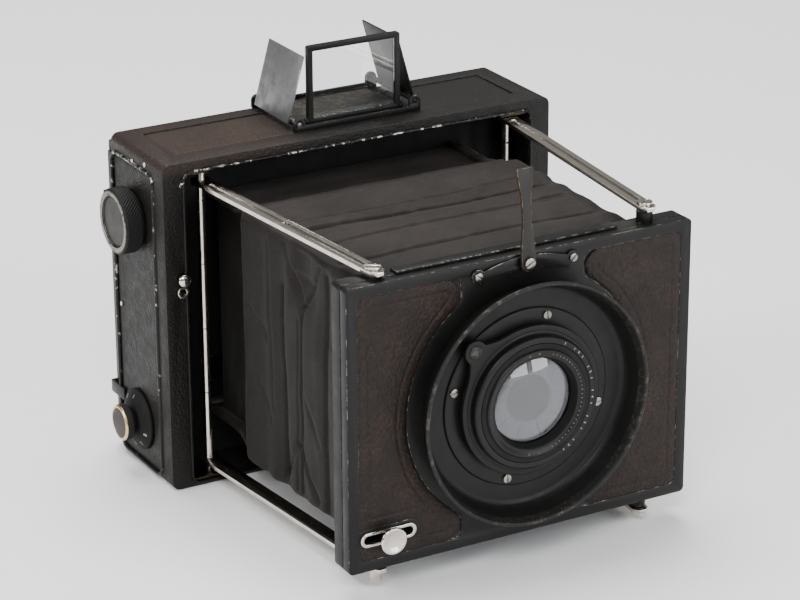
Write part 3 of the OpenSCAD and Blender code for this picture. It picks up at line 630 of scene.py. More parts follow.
# %% [markdown]
# ## The bellows
# The bellows is soft black cloth, four flat sides with slack folds. Its section is a rectangle with tight
# round
# corners. A table of folds says how far the cloth stands in or out at each distance in front of the body, and
# single creases are narrow valleys along straight lines. At each top corner the cloth is tucked in a
# triangle.

# %% Bellows shape
REAR_Y, FRONT_Y = high("bellows")[1] - 0.0002, low("bellows")[1] - 0.0003
BELLOWS_MID = middle("bellows")
FOLDS = np.array([[-22, -9.5], [-4, -9.5], [2, -9.0], [10, -4.0], [18, -0.2], [24, -0.4], [31, -1.9],
                  [37, -0.7],
                  [45, -3.8], [53, -0.6], [59, -1.2], [66, -0.5], [72, -1.3], [79, -3.0], [88, -0.4], [97,
                                                            -1.4],
                  [104.5, -0.8]])


def smooth_table(value, table):
    """Looks a value up in a table of [value, result], easing between neighbours with 3t^2 - 2t^3."""
    index = np.clip(np.searchsorted(table[:, 0], value) - 1, 0, len(table) - 2)
    t = (value - table[index, 0]) / (table[index + 1, 0] - table[index, 0])
    t = np.clip(t, 0, 1)
    return table[index, 1] + (table[index + 1, 1] - table[index, 1]) * (3 * t ** 2 - 2 * t ** 3)


def waves(rng, first, second, longest, shortest, count):
    """Slack in cloth: a sum of sines in random directions, each weaker as its wave is shorter."""
    total = np.zeros_like(first)
    for wavelength in np.geomspace(longest, shortest, count):
        heading, phase = rng.uniform(0, math.tau, 2)
        along = first * math.cos(heading) + second * math.sin(heading)
        total += wavelength / longest * np.sin(math.tau * along / wavelength + phase)
    return total


def crease(first, second, start, end, depth, width):
    """A narrow valley along a line from start to end: -depth * exp(-(distance / width)^2), fading at its
    ends."""
    start, end = np.array(start, float), np.array(end, float)
    along = end - start
    t = ((first - start[0]) * along[0] + (second - start[1]) * along[1]) / (along @ along)
    nearest = np.clip(t, 0, 1)
    gap = np.hypot(first - start[0] - nearest * along[0], second - start[1] - nearest * along[1])
    return -depth * np.exp(-(gap / width) ** 2)


def bellows_surface(rows=230, columns=460):
    """Grid of the cloth. A point is the section's edge moved along its outward direction by folds(reach) +
    creases + slack, all in millimetres, and reach runs from the gate to the standard."""
    rng = np.random.default_rng(31)
    place, ray = round_loop(120, 100, 3.5, columns)
    reach = np.linspace((BODY_LOW[1] - REAR_Y) / MM, (BODY_LOW[1] - FRONT_Y) / MM, rows)[:, None]
    x, z = np.broadcast_to(place[:, 0], (rows, columns)), np.broadcast_to(place[:, 1], (rows, columns))
    out_x, out_z = ray[:, 0][None], ray[:, 1][None]
    side = np.clip(np.abs(out_x) * 1.2 - 0.15, 0, 1)
    flat = np.clip(np.abs(out_z) * 1.2 - 0.15, 0, 1)
    wobble = 0.7 * np.sin(z / 19 + 1.0) + 0.4 * np.sin(x / 23)
    folds = smooth_table(reach + wobble, FOLDS)
    deep_folds = np.where(reach < 20, folds, 0.62 * folds)
    shift = deep_folds * (side + 0.55 * flat * (1 - side))
    for sign in (-1, 1):
        here = side * (np.sign(out_x) == sign)
        lean = 3 if sign < 0 else -2
        tucks = ((46, 47), (59 + lean, 27), 1.5, 1.1), ((74, 46), (59 + lean, 26), 1.5, 1.1), \
            ((60 + lean, 26), (60, -46), 1.3, 0.9), ((57 + lean, 22), (56.5, -46), 0.7, 0.7), \
            ((45, 30), (45.6, -48), 1.6, 1.0), ((79, 44), (78, -48), 1.2, 1.1), \
            ((37, 45), (38, -20), 0.7, 0.8), ((52, 38), (67, 37), 0.7, 1.2), ((20, 14), (34, 6), 0.8, 1.4), \
            ((26, -12), (36, -26), 0.6, 1.2), ((84, 20), (97, 31), 0.7, 1.3), ((66, -8), (74, -22), 0.5,
                                                            1.1), \
            ((46, -44), (58, -28), 1.3, 1.2), ((72, -45), (59, -28), 1.3, 1.2)
        for start, end, depth, width in tucks:
            shift = shift + here * crease(reach, z * np.ones_like(reach), start, end, depth, width)
        pull = crease(reach, z * np.ones_like(reach), (60 + lean, 50), (60 + lean, 36), 2.6, 8)
        shift = shift + here * pull
    for sign in (-1, 1):
        here = flat * (np.sign(out_z) == sign)
        for at, depth, width in ((20, 0.5, 1.2), (37.6, 0.9, 0.8), (45.5, 1.7, 1.0), (60, 1.1, 0.8),
                                 (62.5, 0.6, 0.7),
                                 (78.6, 1.3, 1.0), (96, 0.5, 1.0)):
            tilt = rng.uniform(-2.0, 2.0, 2)
            shift = shift + here * crease(reach, x * np.ones_like(reach), (at + tilt[0], -52),
                                          (at + tilt[1], 52),
                                          depth, width)
    slack = 0.26 * waves(rng, x + out_x * 20, z + reach * 0.9, 80, 22, 6)
    slack += 0.06 * waves(rng, x * 1.3 + reach, z - reach * 0.4, 16, 5, 6)
    ends = np.clip((reach + 21) / 14, 0, 1) * np.clip((104.5 - reach) / 5, 0, 1)
    shift = shift + slack * ends
    centre = np.array([BELLOWS_MID[0], 0, BELLOWS_MID[2]]) / MM
    grid = np.empty((rows, columns, 3))
    grid[..., 0] = centre[0] + x + out_x * shift
    grid[..., 1] = BODY_LOW[1] / MM - reach + 0.2 * waves(rng, x, z, 60, 20, 4) * ends
    grid[..., 2] = centre[2] + z + out_z * shift
    return grid * MM


def cloth_finish(name, dark, pale, thread=0.00042):
    """Rubberised cloth: two crossed wave patterns for the weave, grey-brown dust in clouds, painted paler
    where the cloth faces up as painted light from above, and a low sheen."""
    f = Finish(name, Specular_IOR_Level=0.16, Sheen_Weight=0.04, Sheen_Roughness=0.5)
    weave = []
    for axis in ("Y", "DIAGONAL"):
        wave = f.node("TexWave", Vector=f.place, Scale=0.31 / thread / 2, Distortion=0.6, Detail=1.0)
        wave.bands_direction = axis
        weave.append(wave.outputs["Fac"])
    threads = f.math("MULTIPLY", *weave)
    # Where the cloth faces up it is painted paler: painted light from above, laid over the dust clouds.
    upward = f.node("SeparateXYZ", Vector=f.node("NewGeometry").outputs["Normal"]).outputs["Z"]
    dust_and_top_light = f.math("MULTIPLY", f.ramp(f.noise(0.03, 5, 0.6), [(0.3, 0.15), (0.75, 1.0)]),
                   f.ramp(upward, [(0.1, 0.25), (0.9, 1.0)]))
    fine = f.noise(0.0012, 4, 0.7)
    colour = f.mix(dust_and_top_light, dark, pale)
    colour = f.mix(f.math("MULTIPLY", f.ramp(fine, [(0.52, 0.0), (0.8, 1.0)]), 0.5), colour,
                   tuple(c * 2.0 for c in pale))
    f.bump(f.noise(0.003, 5, 0.65), 0.00018, 0.7, below=f.bump(threads, 0.00006, 0.5))
    return f.set(Base_Color=colour, Roughness=f.ramp(fine, [(0.2, 0.5), (0.8, 0.72)]))


# The paler colour stands for dust and for the painted light on the up-facing cloth.
BELLOWS_CLOTH = cloth_finish("bellows_cloth", (0.0036, 0.0031, 0.0028), (0.024, 0.0182, 0.0155))
bellows = surface("bellows_cloth_sleeve", bellows_surface(), BELLOWS_CLOTH, wrap_cols=True, smooth_angle=180)
thicken = bellows.modifiers.new("cloth", "SOLIDIFY")
thicken.thickness, thicken.offset = 0.0006, -1
mount(bellows, "body", "bellows_cloth", "bellows")
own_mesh(bellows)
print("bellows box", np.round(np.array([v.co for v in bellows.data.vertices]).min(0), 4))

# %% [markdown]
# ## The lens and its collar
# The lens stands in a wide dished collar, screwed to a flange. Round it turn the focusing ring, with a
# lobe for
# the thumb, and the aperture ring. Each is a profile spun round the lens axis. Heights are measured from the
# panel's face towards the subject.

# %% Collar, flange and rings
ON_PANEL = (LENS[0], PANEL_FACE, LENS[2])
LOBE_ANGLE, LOBE_AT, LOBE_R, RING_R = math.radians(135), 32.4, 4.3, 28.2


def lobe_outline(angle):
    """Radius of the focusing plate: the ring, pushed out to a round lobe with hollow shoulders. It is the
    larger of the ring and the lobe's own circle seen from the lens axis, joined by a bell curve."""
    off = (angle - LOBE_ANGLE + math.pi) % math.tau - math.pi
    beside = LOBE_AT * np.sin(off)
    circle = LOBE_AT * np.cos(off) + np.sqrt(np.maximum(LOBE_R ** 2 - beside ** 2, 0))
    shoulder = RING_R + (LOBE_AT - RING_R + 0.9) * np.exp(-(off / 0.2) ** 2)
    on_lobe = (np.abs(beside) < LOBE_R) & (np.abs(off) < 1)
    return np.where(on_lobe, np.maximum(circle, shoulder), shoulder)


def focusing_plate():
    """The plate under the ring: a flat shape whose edge is lobe_outline, with rounded upper and lower
    edges."""
    steps = 720
    angle = np.linspace(0, math.tau, steps, endpoint=False)
    edge = lobe_outline(angle)
    rows = [(0.0, 3.9, -2.0), (0.0, 3.9, -0.25), (0.0, 4.05, 0), (0.0, 5.35, 0), (0.0, 5.55, -0.2),
            (0.0, 5.6, -0.45),
            (0.0, 5.6, -2.0)]
    radius = np.array([[e + inset for e in edge] for _, _, inset in rows])
    height = np.array([[h] * steps for _, h, _ in rows])
    inner = np.full((1, steps), 23.0)
    radius = np.vstack([inner, radius, inner])
    height = np.vstack([[[3.9] * steps], height, [[5.6] * steps]])
    grid = np.stack([ON_PANEL[0] + MM * radius * np.cos(angle), ON_PANEL[1] - MM * height,
                     ON_PANEL[2] + MM * radius * np.sin(angle)], axis=2)
    return surface("focusing_plate", grid, ENAMEL_SATIN, wrap_rows=True, wrap_cols=True, smooth_angle=50)


ENAMEL_SATIN = enamel("satin_black", gloss=0.38)
COLLAR_RIM = enamel("collar_rim_worn", wear=0.34, bare=(0.07, 0.064, 0.057), tone=0.008, gloss=0.42)
collar = turned("collar_dish_finished", [[24.4, 0.05], [41.3, 0.05], [42.3, 4], [45.5, 9.6], [45.75, 10.4],
                                         [45.6, 10.95],
                                [44.9, 11.0], [44.3, 10.4], [43.6, 8.6], [41.9, 3.4], [41.0, 1.9], [39.6,
                                                            1.2],
                                [24.4, 1.2]], ON_PANEL, ENAMEL_SATIN, steps=240, edge=0.5)
rim = turned("collar_rim_finished", [[45.3, 9.3], [45.86, 10.2], [45.8, 10.9], [45.2, 11.15], [44.5, 11.0],
                                     [44.1, 10.2],
                            [43.3, 7.8], [44.4, 9.6]], ON_PANEL, COLLAR_RIM, steps=240, edge=0.3)
mount(joined("lens_collar_finished", [collar, rim]), "panel", SLOTS["lens_collar"], "lens_collar")
flange = turned("lens_flange_finished", [[24.4, 1.25], [33.5, 1.25], [33.5, 1.75], [33.0, 2.1],
                                         [24.4, 2.1]], ON_PANEL,
                ENAMEL, steps=200, edge=0.18)
mount(flange, "panel", SLOTS["lens_flange"], "lens_flange")
hub = turned("focusing_hub", [[22.7, 2.4], [27.4, 2.4], [27.4, 3.9], [22.7, 3.9]], ON_PANEL, ENAMEL_SATIN,
             edge=0.2)
cap = turned("focusing_cap", [[23.0, 5.5], [26.2, 5.5], [26.2, 5.75], [25.7, 5.95], [23.0, 5.95]], ON_PANEL,
             ENAMEL,
             edge=0.15)
stud_at = (ON_PANEL[0] + MM * LOBE_AT * math.cos(LOBE_ANGLE), PANEL_FACE - 5.6 * MM,
           ON_PANEL[2] + MM * LOBE_AT * math.sin(LOBE_ANGLE))
stud = turned("focusing_stud", [[0, 0], [2.6, 0], [2.6, 0.25], [2.1, 0.55], [0, 0.6]], stud_at, COLLAR_RIM,
              edge=0.15,
              closed=False, steps=64)
mount(joined("focus_ring_finished", [focusing_plate(), hub, cap, stud]), "focus", SLOTS["focus_ring"],
      "focus_ring")

# %% [markdown]
# ## Engraved scales
# Short white ticks stand round the aperture ring, with plain figures between them. They are thin inlays, just
# proud of the metal, as paint is in an engraved line.

# %% Scales
INLAY = enamel("scale_paint", tone=0.3, gloss=0.5)
INLAY_DIM = enamel("scale_paint_rubbed", tone=0.22, gloss=0.55)


def ring_place(radius, degrees, height):
    """A point on the lens axis's polar grid, with the directions round and outwards there."""
    a = math.radians(degrees)
    place = Vector((ON_PANEL[0] + MM * radius * math.cos(a), PANEL_FACE - MM * height,
                    ON_PANEL[2] + MM * radius * math.sin(a)))
    outward = Vector((math.cos(a), 0, math.sin(a)))
    return place, outward.cross(Vector((0, -1, 0))) * -1, outward


def ring_marks(name, radius, height, angles, length, width, material):
    """Ticks as thin flat bars: one quad for each, its long side along the radius."""
    quads = []
    for degrees in angles:
        place, around, outward = ring_place(radius, degrees, height)
        for a, b in ((-1, -1), (1, -1), (1, 1), (-1, 1)):
            quads.append(place + around * a * width / 2 * MM + outward * b * length / 2 * MM)
    faces = np.arange(len(quads)).reshape(-1, 4)
    piece = build(name, np.array(quads), faces, material, recalc=False)
    if piece.data.polygons[0].normal.y > 0:
        piece.data.flip_normals()
    return piece


def ring_figures(name, radius, height, figures, size, material, facing=1):
    """Figures upright on the ring, each at its own angle."""
    made = []
    for degrees, words in figures:
        place, around, outward = ring_place(radius, degrees, height)
        right = around if around.cross(outward * facing).y < 0 else around * -1
        made.append(letters(name + words, words, size, place, right, outward * facing, material))
    return joined(name, made)


aperture_body = turned("aperture_ring_body", [[22.45, 5.98], [24.9, 5.98], [24.9, 8.0], [24.35, 8.6],
                                              [22.45, 8.6]], ON_PANEL,
                       ENAMEL, steps=240, edge=0.25)
ticks = ring_marks("aperture_ticks", 23.5, 8.63, range(-60, 61, 12), 0.9, 0.22, INLAY)
figures = ring_figures("aperture_figures", 23.6, 8.62,
                       [(-54, "2"), (-30, "3"), (-6, "4"), (18, "5"), (42, "6")], 1.4, INLAY)
mount(joined("aperture_ring_finished", [aperture_body, ticks, figures]), "aperture", SLOTS["aperture_ring"],
      "aperture_ring")

# %% Barrel and glass
barrel = turned("lens_barrel_body", [[22.35, 8.7], [22.35, -14], [19, -14], [19, -28], [14.4, -28],
                                     [14.4, -27], [15.4, -27],
                                     [15.4, 4], [17.2, 5.4], [17.2, 8.1], [17.5,
                                                            8.7]], ON_PANEL, ENAMEL_FLAT, steps=200,
                edge=0.3)
mount(barrel, "lens", SLOTS["lens_barrel"], "lens_barrel")
BEZEL_BROWN = enamel("bezel_worn", wear=0.2, bare=(0.04, 0.026, 0.02), gloss=0.28)
bezel = turned("lens_bezel_body", [[17.25, 8.75], [20.3, 8.75], [20.35, 9.1], [19.9, 9.55], [19.3, 9.45],
                                   [18.1, 8.85],
                                   [17.25, 8.8]], ON_PANEL, BEZEL_BROWN, steps=240, edge=0.15)
name_ring = turned("lens_name_ring", [[16.1, 5.6], [17.15, 5.6], [17.15, 8.6], [16.95, 8.6]], ON_PANEL,
                   ENAMEL_FLAT,
                   steps=200, edge=0.12)
ring_ticks = ring_marks("name_ring_ticks", 18.75, 9.3, np.arange(-70, 71, 5.0), 0.55, 0.16, INLAY_DIM)
ring_figs = ring_figures("name_ring_figures", 19.0, 9.52, [(-88, "1"), (-100, "2"), (88, "3"), (100, "4")],
                         1.0, INLAY_DIM, -1)
mount(joined("lens_bezel_finished", [bezel, name_ring, ring_ticks, ring_figs]), "lens", SLOTS["lens_bezel"],
      "lens_bezel")


def lens_element(name, radius, front, bulge, thick, material):
    """A glass element: two caps of depth bulge * (1 - (r / radius)^2), back to back, joined at the rim."""
    r = np.linspace(0, 1, 24)
    face = np.stack([r * radius, front + bulge * (1 - r ** 2)], axis=1)
    back = np.stack([r[::-1] * radius, front - thick + 0 * r], axis=1)
    grid = spin(np.concatenate([face, back]) * MM, ON_PANEL, "-y", 128)
    return surface(name, grid, material, wrap_cols=True, smooth_angle=40)


GLASS_COATED = clear_glass("front_element_glass", (0.93, 0.95, 1.0), 0.0, coat=0.6)
mount(lens_element("front_glass_finished", 16.85, 5.5, 2.6, 1.6, GLASS_COATED), "lens",
      SLOTS["front_glass"], "front_glass")
mount(lens_element("rear_glass_finished", 14.25, -27.15, 0.0, 0.8, GLASS), "lens", SLOTS["rear_glass"],
      "rear_glass")
IRIS = metal("iris_steel", (0.05, 0.05, 0.055), (0.02, 0.02, 0.022), 0.35, 0.2, (1, 1, 1), 0.5)
inner_wall = turned("inner_cell", [[16.2, 1.0], [16.6, 1.0], [16.6, 3.6], [16.2, 3.6]], ON_PANEL, ENAMEL,
                    edge=0.1)
mount(inner_wall, "lens", SLOTS["lens_barrel"])
softened("iris_blades", IRIS, IRIS, 0.02, 1)

# %% [markdown]
# ## Leather on the front
# Two red-brown fields lie either side of the collar. Their edge follows the panel's edge, a circle round the
# lens and, at the lower left, the slot of the lock.

# %% Front leathers
def front_field(side):
    """Distance inside one field: inside its rectangle, outside the lens circle and outside the slot."""
    centre_x = front_middle_x + side * 45.6

    def inside(x, z):
        corner = np.where((x - centre_x) * side < 0, 7.0, 2.5)
        box = rounded_box_distance(x - centre_x, z - axis_z, 41, 99, corner)
        disc = np.hypot(x - LENS[0] / MM, z - axis_z) - 47.6
        deep = soft_least(box, disc, 1.6)
        if side < 0:
            slot = -rounded_box_distance(x - slot_middle[0], z - slot_middle[2], 25, 7.6, 3.8)
            deep = soft_least(deep, slot, 0.3)
        return deep
    return inside


front_middle_x = (PANEL_LOW[0] + PANEL_HIGH[0]) / 2 / MM
axis_z = LENS[2] / MM
slot_middle = middle("slot_rim") / MM
front_fields = []
for side in (-1, 1):
    centre_x = front_middle_x + side * 45.6
    piece = field("front_field", front_field(side),
                  (centre_x - 22, centre_x + 22, axis_z - 51, axis_z + 51), 0.5,
                  lambda d: tooled(d, 0.5), lambda x, h, z: np.stack([x, PANEL_FACE / MM + 0.5 - h - 0.35,
                                                            z], axis=1) * MM,
                  FRONT_LEATHER)
    if np.mean([p.normal.y for p in piece.data.polygons]) > 0:
        piece.data.flip_normals()
    front_fields.append(piece)
mount(joined("panel_leathers_finished", front_fields), "panel", "brown_leather", "panel_leathers")

# %% [markdown]
# ## Leather on the body
# The body's sides, top and base carry sunk leather fields, each framed by a raised bead that has lost its
# paint
# on top. The front opening has a thinner bead.

# %% Body leathers and beads
BEAD = enamel("bead_enamel", wear=0.16, bare=(0.42, 0.4, 0.36), gloss=0.24, worn_top=0.1)
OPENING_BEAD = enamel("opening_bead_enamel", wear=0.08, bare=(0.42, 0.4, 0.36), gloss=0.2, worn_top=0.1)
SIDE_PLANES = {-1: ((0, -1, 0), (0, 0, 1), (-1, 0, 0)), 1: ((0, 1, 0), (0, 0, 1), (1, 0, 0))}


def leather_field(node, spans, to_world, material, hole=None, radius=2.0):
    """A body leather: inside a round-cornered rectangle, and outside any knob holes."""
    x0, x1, z0, z1 = spans

    def inside(x, z):
        deep = rounded_box_distance(x - (x0 + x1) / 2, z - (z0 + z1) / 2, x1 - x0, z1 - z0, radius)
        for hole_x, hole_z, hole_r in hole or ():
            deep = soft_least(deep, np.hypot(x - hole_x, z - hole_z) - hole_r, 0.2)
        return deep
    return field(node + "_finished", inside, (x0 - 1, x1 + 1, z0 - 1, z1 + 1), 0.7,
                 lambda d: tooled(d, 0.5, 90), to_world, material)


knob_holes = [(middle(n)[1] / MM, middle(n)[2] / MM, 3.4) for n in ("winding_knob", "tension_knob")]
for side, node in ((-1, "left_side_leather"), (1, "right_side_leather")):
    box_low, box_high = low(node) / MM, high(node) / MM
    wall = box_high[0] if side < 0 else box_low[0]
    piece = leather_field(node, (box_low[1], box_high[1], box_low[2], box_high[2]),
                          lambda a, h, b: np.stack([wall + side * h, a, b],
                                                   axis=1) * MM, BODY_LEATHER, knob_holes)
    if np.mean([p.normal.x for p in piece.data.polygons]) * side < 0:
        piece.data.flip_normals()
    mount(piece, "body", "black_leather", node)
    size = (box_high[1] - box_low[1] + 1.6, box_high[2] - box_low[2] + 1.6)
    centre = np.array([side * (BODY_HIGH[0] / MM - 0.1) * MM, (box_low[1] + box_high[1]) / 2 * MM,
                       (box_low[2] + box_high[2]) / 2 * MM])
    frame_bead = bead(("left" if side < 0 else "right") + "_side_bead", size, 4.5, 0.85, centre,
                      SIDE_PLANES[side], BEAD)
    mount(frame_bead, "body", "black_paint")

top_low, top_high = low("top_leather") / MM, high("top_leather") / MM
piece = leather_field("top_leather", (top_low[0], top_high[0], top_low[1], top_high[1]),
                      lambda a, h, b: np.stack([a, b, top_low[2] + h], axis=1) * MM, TOP_LEATHER)
if np.mean([p.normal.z for p in piece.data.polygons]) < 0:
    piece.data.flip_normals()
mount(piece, "body", "black_leather", "top_leather")
base_low, base_high = low("base_leather") / MM, high("base_leather") / MM
piece = leather_field("base_leather", (base_low[0], base_high[0], base_low[1], base_high[1]),
                      lambda a, h, b: np.stack([a, b, base_high[2] - h],
                                               axis=1) * MM, BODY_LEATHER, [(0, 0, 8.1)])
if np.mean([p.normal.z for p in piece.data.polygons]) > 0:
    piece.data.flip_normals()
mount(piece, "body", "black_leather", "base_leather")
hood_low, hood_high = low("hood_leather") / MM, high("hood_leather") / MM
piece = leather_field("hood_leather", (hood_low[0], hood_high[0], hood_low[2], hood_high[2]),
                      lambda a, h, b: np.stack([a, hood_low[1] + h + 0.1, b], axis=1) * MM, BODY_LEATHER)
if np.mean([p.normal.y for p in piece.data.polygons]) < 0:
    piece.data.flip_normals()
mount(piece, "hood", "black_leather", "hood_leather")

opening_size = (149.2, 125.0)
opening_bead = bead("opening_bead", opening_size, 3.4, 0.6, np.array([0, BODY_LOW[1] - 0.00005, 0.0636]),
                    ((1, 0, 0), (0, 0, 1), (0, -1, 0)), OPENING_BEAD)
mount(opening_bead, "body", "black_paint")

# %% [markdown]
# ## Knobs
# The winding knob's grip is cut with crossed lines, so its surface is a row of small diamonds: a product
# of two
# waves that wind opposite ways round it.

# %% Knobs
WIND = middle("winding_knob")
WIND_FACE = low("winding_knob")[0]
TENSION = middle("tension_knob")


def subdivided(profile, step):
    """Adds points to a profile so that none are further apart than step."""
    out = [profile[:1]]
    for a, b in zip(profile[:-1], profile[1:]):
        count = max(1, int(math.ceil(np.linalg.norm(b - a) / step)))
        out.append(a + (b - a) * np.linspace(0, 1, count + 1)[1:, None])
    return np.concatenate(out)


def diamonds(angle, height, radius, grip=12.4 * MM, teeth=58, depth=0.32 * MM):
    """Crossed knurling: depth * (|sin(n a + k h)| * |sin(n a - k h)| - 1) on the grip's full radius only."""
    pitch = teeth / grip
    one = np.abs(np.sin(teeth / 2 * angle + pitch * height / 2 * 1.0))
    two = np.abs(np.sin(teeth / 2 * angle - pitch * height / 2 * 1.0))
    on_grip = np.clip((radius - grip * 0.985) / (grip * 0.008), 0, 1)
    return depth * (np.minimum(one, two) - 0.75) * on_grip


axis_at = (WIND_FACE + 8.2 * MM, WIND[1], WIND[2])
grip = rounded([[3.1, 0.2], [11.4, 0.2], [11.4, 1.3], [12.6, 1.5], [12.6, 7.5], [11.9, 8.15], [11.2, 8.2],
                [10.0, 8.2],
                [9.7, 7.9], [9.6, 7.3], [3.1, 7.3]], 0.25)
grid = spin(subdivided(np.vstack([grip, grip[:1]])[:-1], 0.22) * MM, axis_at, "-x", 700, diamonds)
knob = surface("winding_grip", grid, ENAMEL_SATIN, wrap_rows=True, wrap_cols=True, smooth_angle=60)
rim = turned("winding_rim", [[9.6, 7.6], [10.0, 8.28], [11.3, 8.3], [12.1, 8.0], [11.4, 7.9]], axis_at,
             ENAMEL_RIM, "-x",
             edge=0.15)
shaft = turned("winding_shaft", [[0, -16], [2.5, -16], [2.5, -10.5], [3, -10.5], [3, 0.4], [0, 0.4]],
               axis_at, BRASS, "-x",
               closed=False, steps=64)
mount(joined("winding_knob_finished", [knob, rim, shaft]), "winding", SLOTS["winding_knob"], "winding_knob")
disc_profile = [[0, 7.55], [8.9, 7.55], [9.5, 7.35], [9.55, 7.25]]
disc = turned("winding_disc_finished", disc_profile, axis_at, GREY_FACE, "-x", closed=False, edge=0.2)
mount(disc, "winding", SLOTS["winding_disc"], "winding_disc")

axis_at = (BODY_LOW[0] - 0.2 * MM, TENSION[1], TENSION[2])
skirt = turned("tension_skirt", [[3.2, 0], [12, 0], [12, 0.9], [11.6, 1.2], [7.6, 3.5], [3.2, 3.6]],
               axis_at, ENAMEL_FLAT,
               "-x", edge=0.25)
marks = []
for i in range(8):
    a = math.radians(90 - i * 36)
    outward = Vector((0, math.cos(a), math.sin(a)))
    normal = (Vector((-1, 0, 0)) * 4.0 + outward * 2.3).normalized()
    right = Vector((-1, 0, 0)).cross(outward)
    up = normal.cross(right)
    place = Vector(axis_at) + Vector((-2.33 * MM, 0, 0)) + outward * 9.75 * MM
    marks.append(letters("figure", str(i + 1), 2.3, place, right, up, INLAY))
mount(joined("tension_dial_finished", [skirt] + marks), "tension", SLOTS["tension_dial"], "tension_dial")
TENSION_HEAD = enamel("tension_head", wear=0.04, bare=(0.12, 0.1, 0.07), tone=0.017, gloss=0.35)
neck = turned("tension_neck", [[0, -16], [2.5, -16], [2.5, -10.5], [3, -10.5], [3, 3.4], [4.6, 3.6],
                               [4.6, 5.4], [0, 5.4]],
              axis_at, ENAMEL_SATIN, "-x", closed=False, steps=64)
head = turned("tension_head", [[0, 5.3], [6.6, 5.3], [7.0, 5.7], [7.0, 8.3], [6.5, 8.8], [0, 8.85]], axis_at,
              TENSION_HEAD, "-x", closed=False, steps=128, edge=0.3,
              ripple=lambda a, h, r: 0.09 * MM * np.cos(a * 64) * (r > 6.9 * MM))
rim = turned("tension_rim", [[5.9, 8.0], [6.98, 8.0], [7.02, 8.35], [6.52, 8.86], [5.9, 8.88]], axis_at,
             BRASS, "-x",
             steps=128, edge=0.12)
mount(joined("tension_knob_finished", [neck, head, rim]), "tension", SLOTS["tension_knob"], "tension_knob")

# %% [markdown]
# ## Lock knob and shutter rollers
# The lock's head is a thin dish, polished, with its stem going back through the slot.

# %% Lock, rollers, gears
lock_at = (middle("lock_knob")[0], PANEL_FACE - 1.4 * MM, middle("lock_knob")[2])
lock = turned("lock_knob_finished", [[0, -6.5], [1.4, -6.5], [1.4, 0.2], [2.6, 0.9], [3.4, 2.5], [5.0, 3.5],
                                     [5.15, 4.1],
                                     [4.9, 4.6], [4.4, 4.75], [2.4, 4.15], [0,
                                                            3.95]], lock_at, NICKEL, closed=False, edge=0.3,
              steps=96)
mount(lock, "lock", SLOTS["lock_knob"], "lock_knob")
for node in ("winding_gear", "roller_gear"):
    softened(node, BRASS, BRASS, 0.08, 1)
for node in ("upper_roller", "lower_roller"):
    softened(node, STEEL, STEEL, 0.2, 2)
softened("bearing_plates", BRASS, BRASS, 0.15, 1)
SHUTTER_CLOTH = cloth_finish("shutter_cloth", (0.006, 0.006, 0.006), (0.014, 0.013, 0.012), 0.0003)
softened("shutter_curtain", SHUTTER_CLOTH, SHUTTER_CLOTH, 0.05, 1)
softened("light_baffle", ENAMEL_FLAT, ENAMEL_FLAT, 0.2, 2)
softened("finder_glass", FINDER_GLASS, FINDER_GLASS, 0.05, 1)
softened("ground_glass", GROUND_GLASS, GROUND_GLASS, 0.1, 1)

# %% [markdown]
# ## The hand strap
# The strap is leather, thicker in its middle and stitched along both edges. Its middle line is the CAD
# strap's
# bow, an arc through both lugs.

# %% Strap
def strap():
    """Grid of the strap: rows along the bow, columns round a flat section with soft edges. Half thickness is
    1.1 * (1 - |v|^6)^(1/2), and the edges are pinched by the stitching."""
    box_low, box_high = low("hand_strap") / MM, high("hand_strap") / MM
    top_z, bottom_z = box_high[2] - 0.6, box_low[2] + 0.6
    t = np.linspace(-1, 1, 160)
    z = (top_z + bottom_z) / 2 + t * (top_z - bottom_z) / 2
    bow = (box_high[0] - 1.0) - (box_low[0] + 0.9)
    x = box_low[0] + 0.9 + bow * np.clip(1 - (t * 1.06) ** 2, 0, 1)
    slope = np.gradient(x, z)
    normal = np.stack([np.ones_like(slope), -slope], axis=1)
    normal /= np.linalg.norm(normal, axis=1, keepdims=True)
    a = np.linspace(0, math.tau, 64, endpoint=False)
    half = (box_high[1] - box_low[1]) / 2 - 0.1
    across = half * np.sign(np.cos(a)) * np.abs(np.cos(a)) ** 0.35
    thick = 0.85 * np.sign(np.sin(a)) * np.abs(np.sin(a)) ** 0.55
    pinch = 1 - 0.3 * np.exp(-((np.abs(across) - half + 1.6) / 0.45) ** 2)
    padding = 1 + 0.25 * np.cos(t * math.pi / 2)[:, None] * (np.abs(across) < half - 2)[None]
    lift = (thick * pinch)[None] * padding
    grid = np.stack([x[:, None] + normal[:, :1] * lift,
                     np.broadcast_to((box_low[1] + box_high[1]) / 2 + across, lift.shape),
                     z[:, None] + normal[:, 1:] * lift], axis=2)
    return grid * MM, x, z, normal, half, (box_low[1] + box_high[1]) / 2


def capped(name, grid, material):
    """A tube of rows with both ends closed by a fan to the end row's middle."""
    ends = [np.broadcast_to(grid[i].mean(0), grid[i].shape)[None] for i in (0, -1)]
    return surface(name, np.concatenate([ends[0], grid, ends[1]]), material, wrap_cols=True, smooth_angle=60)


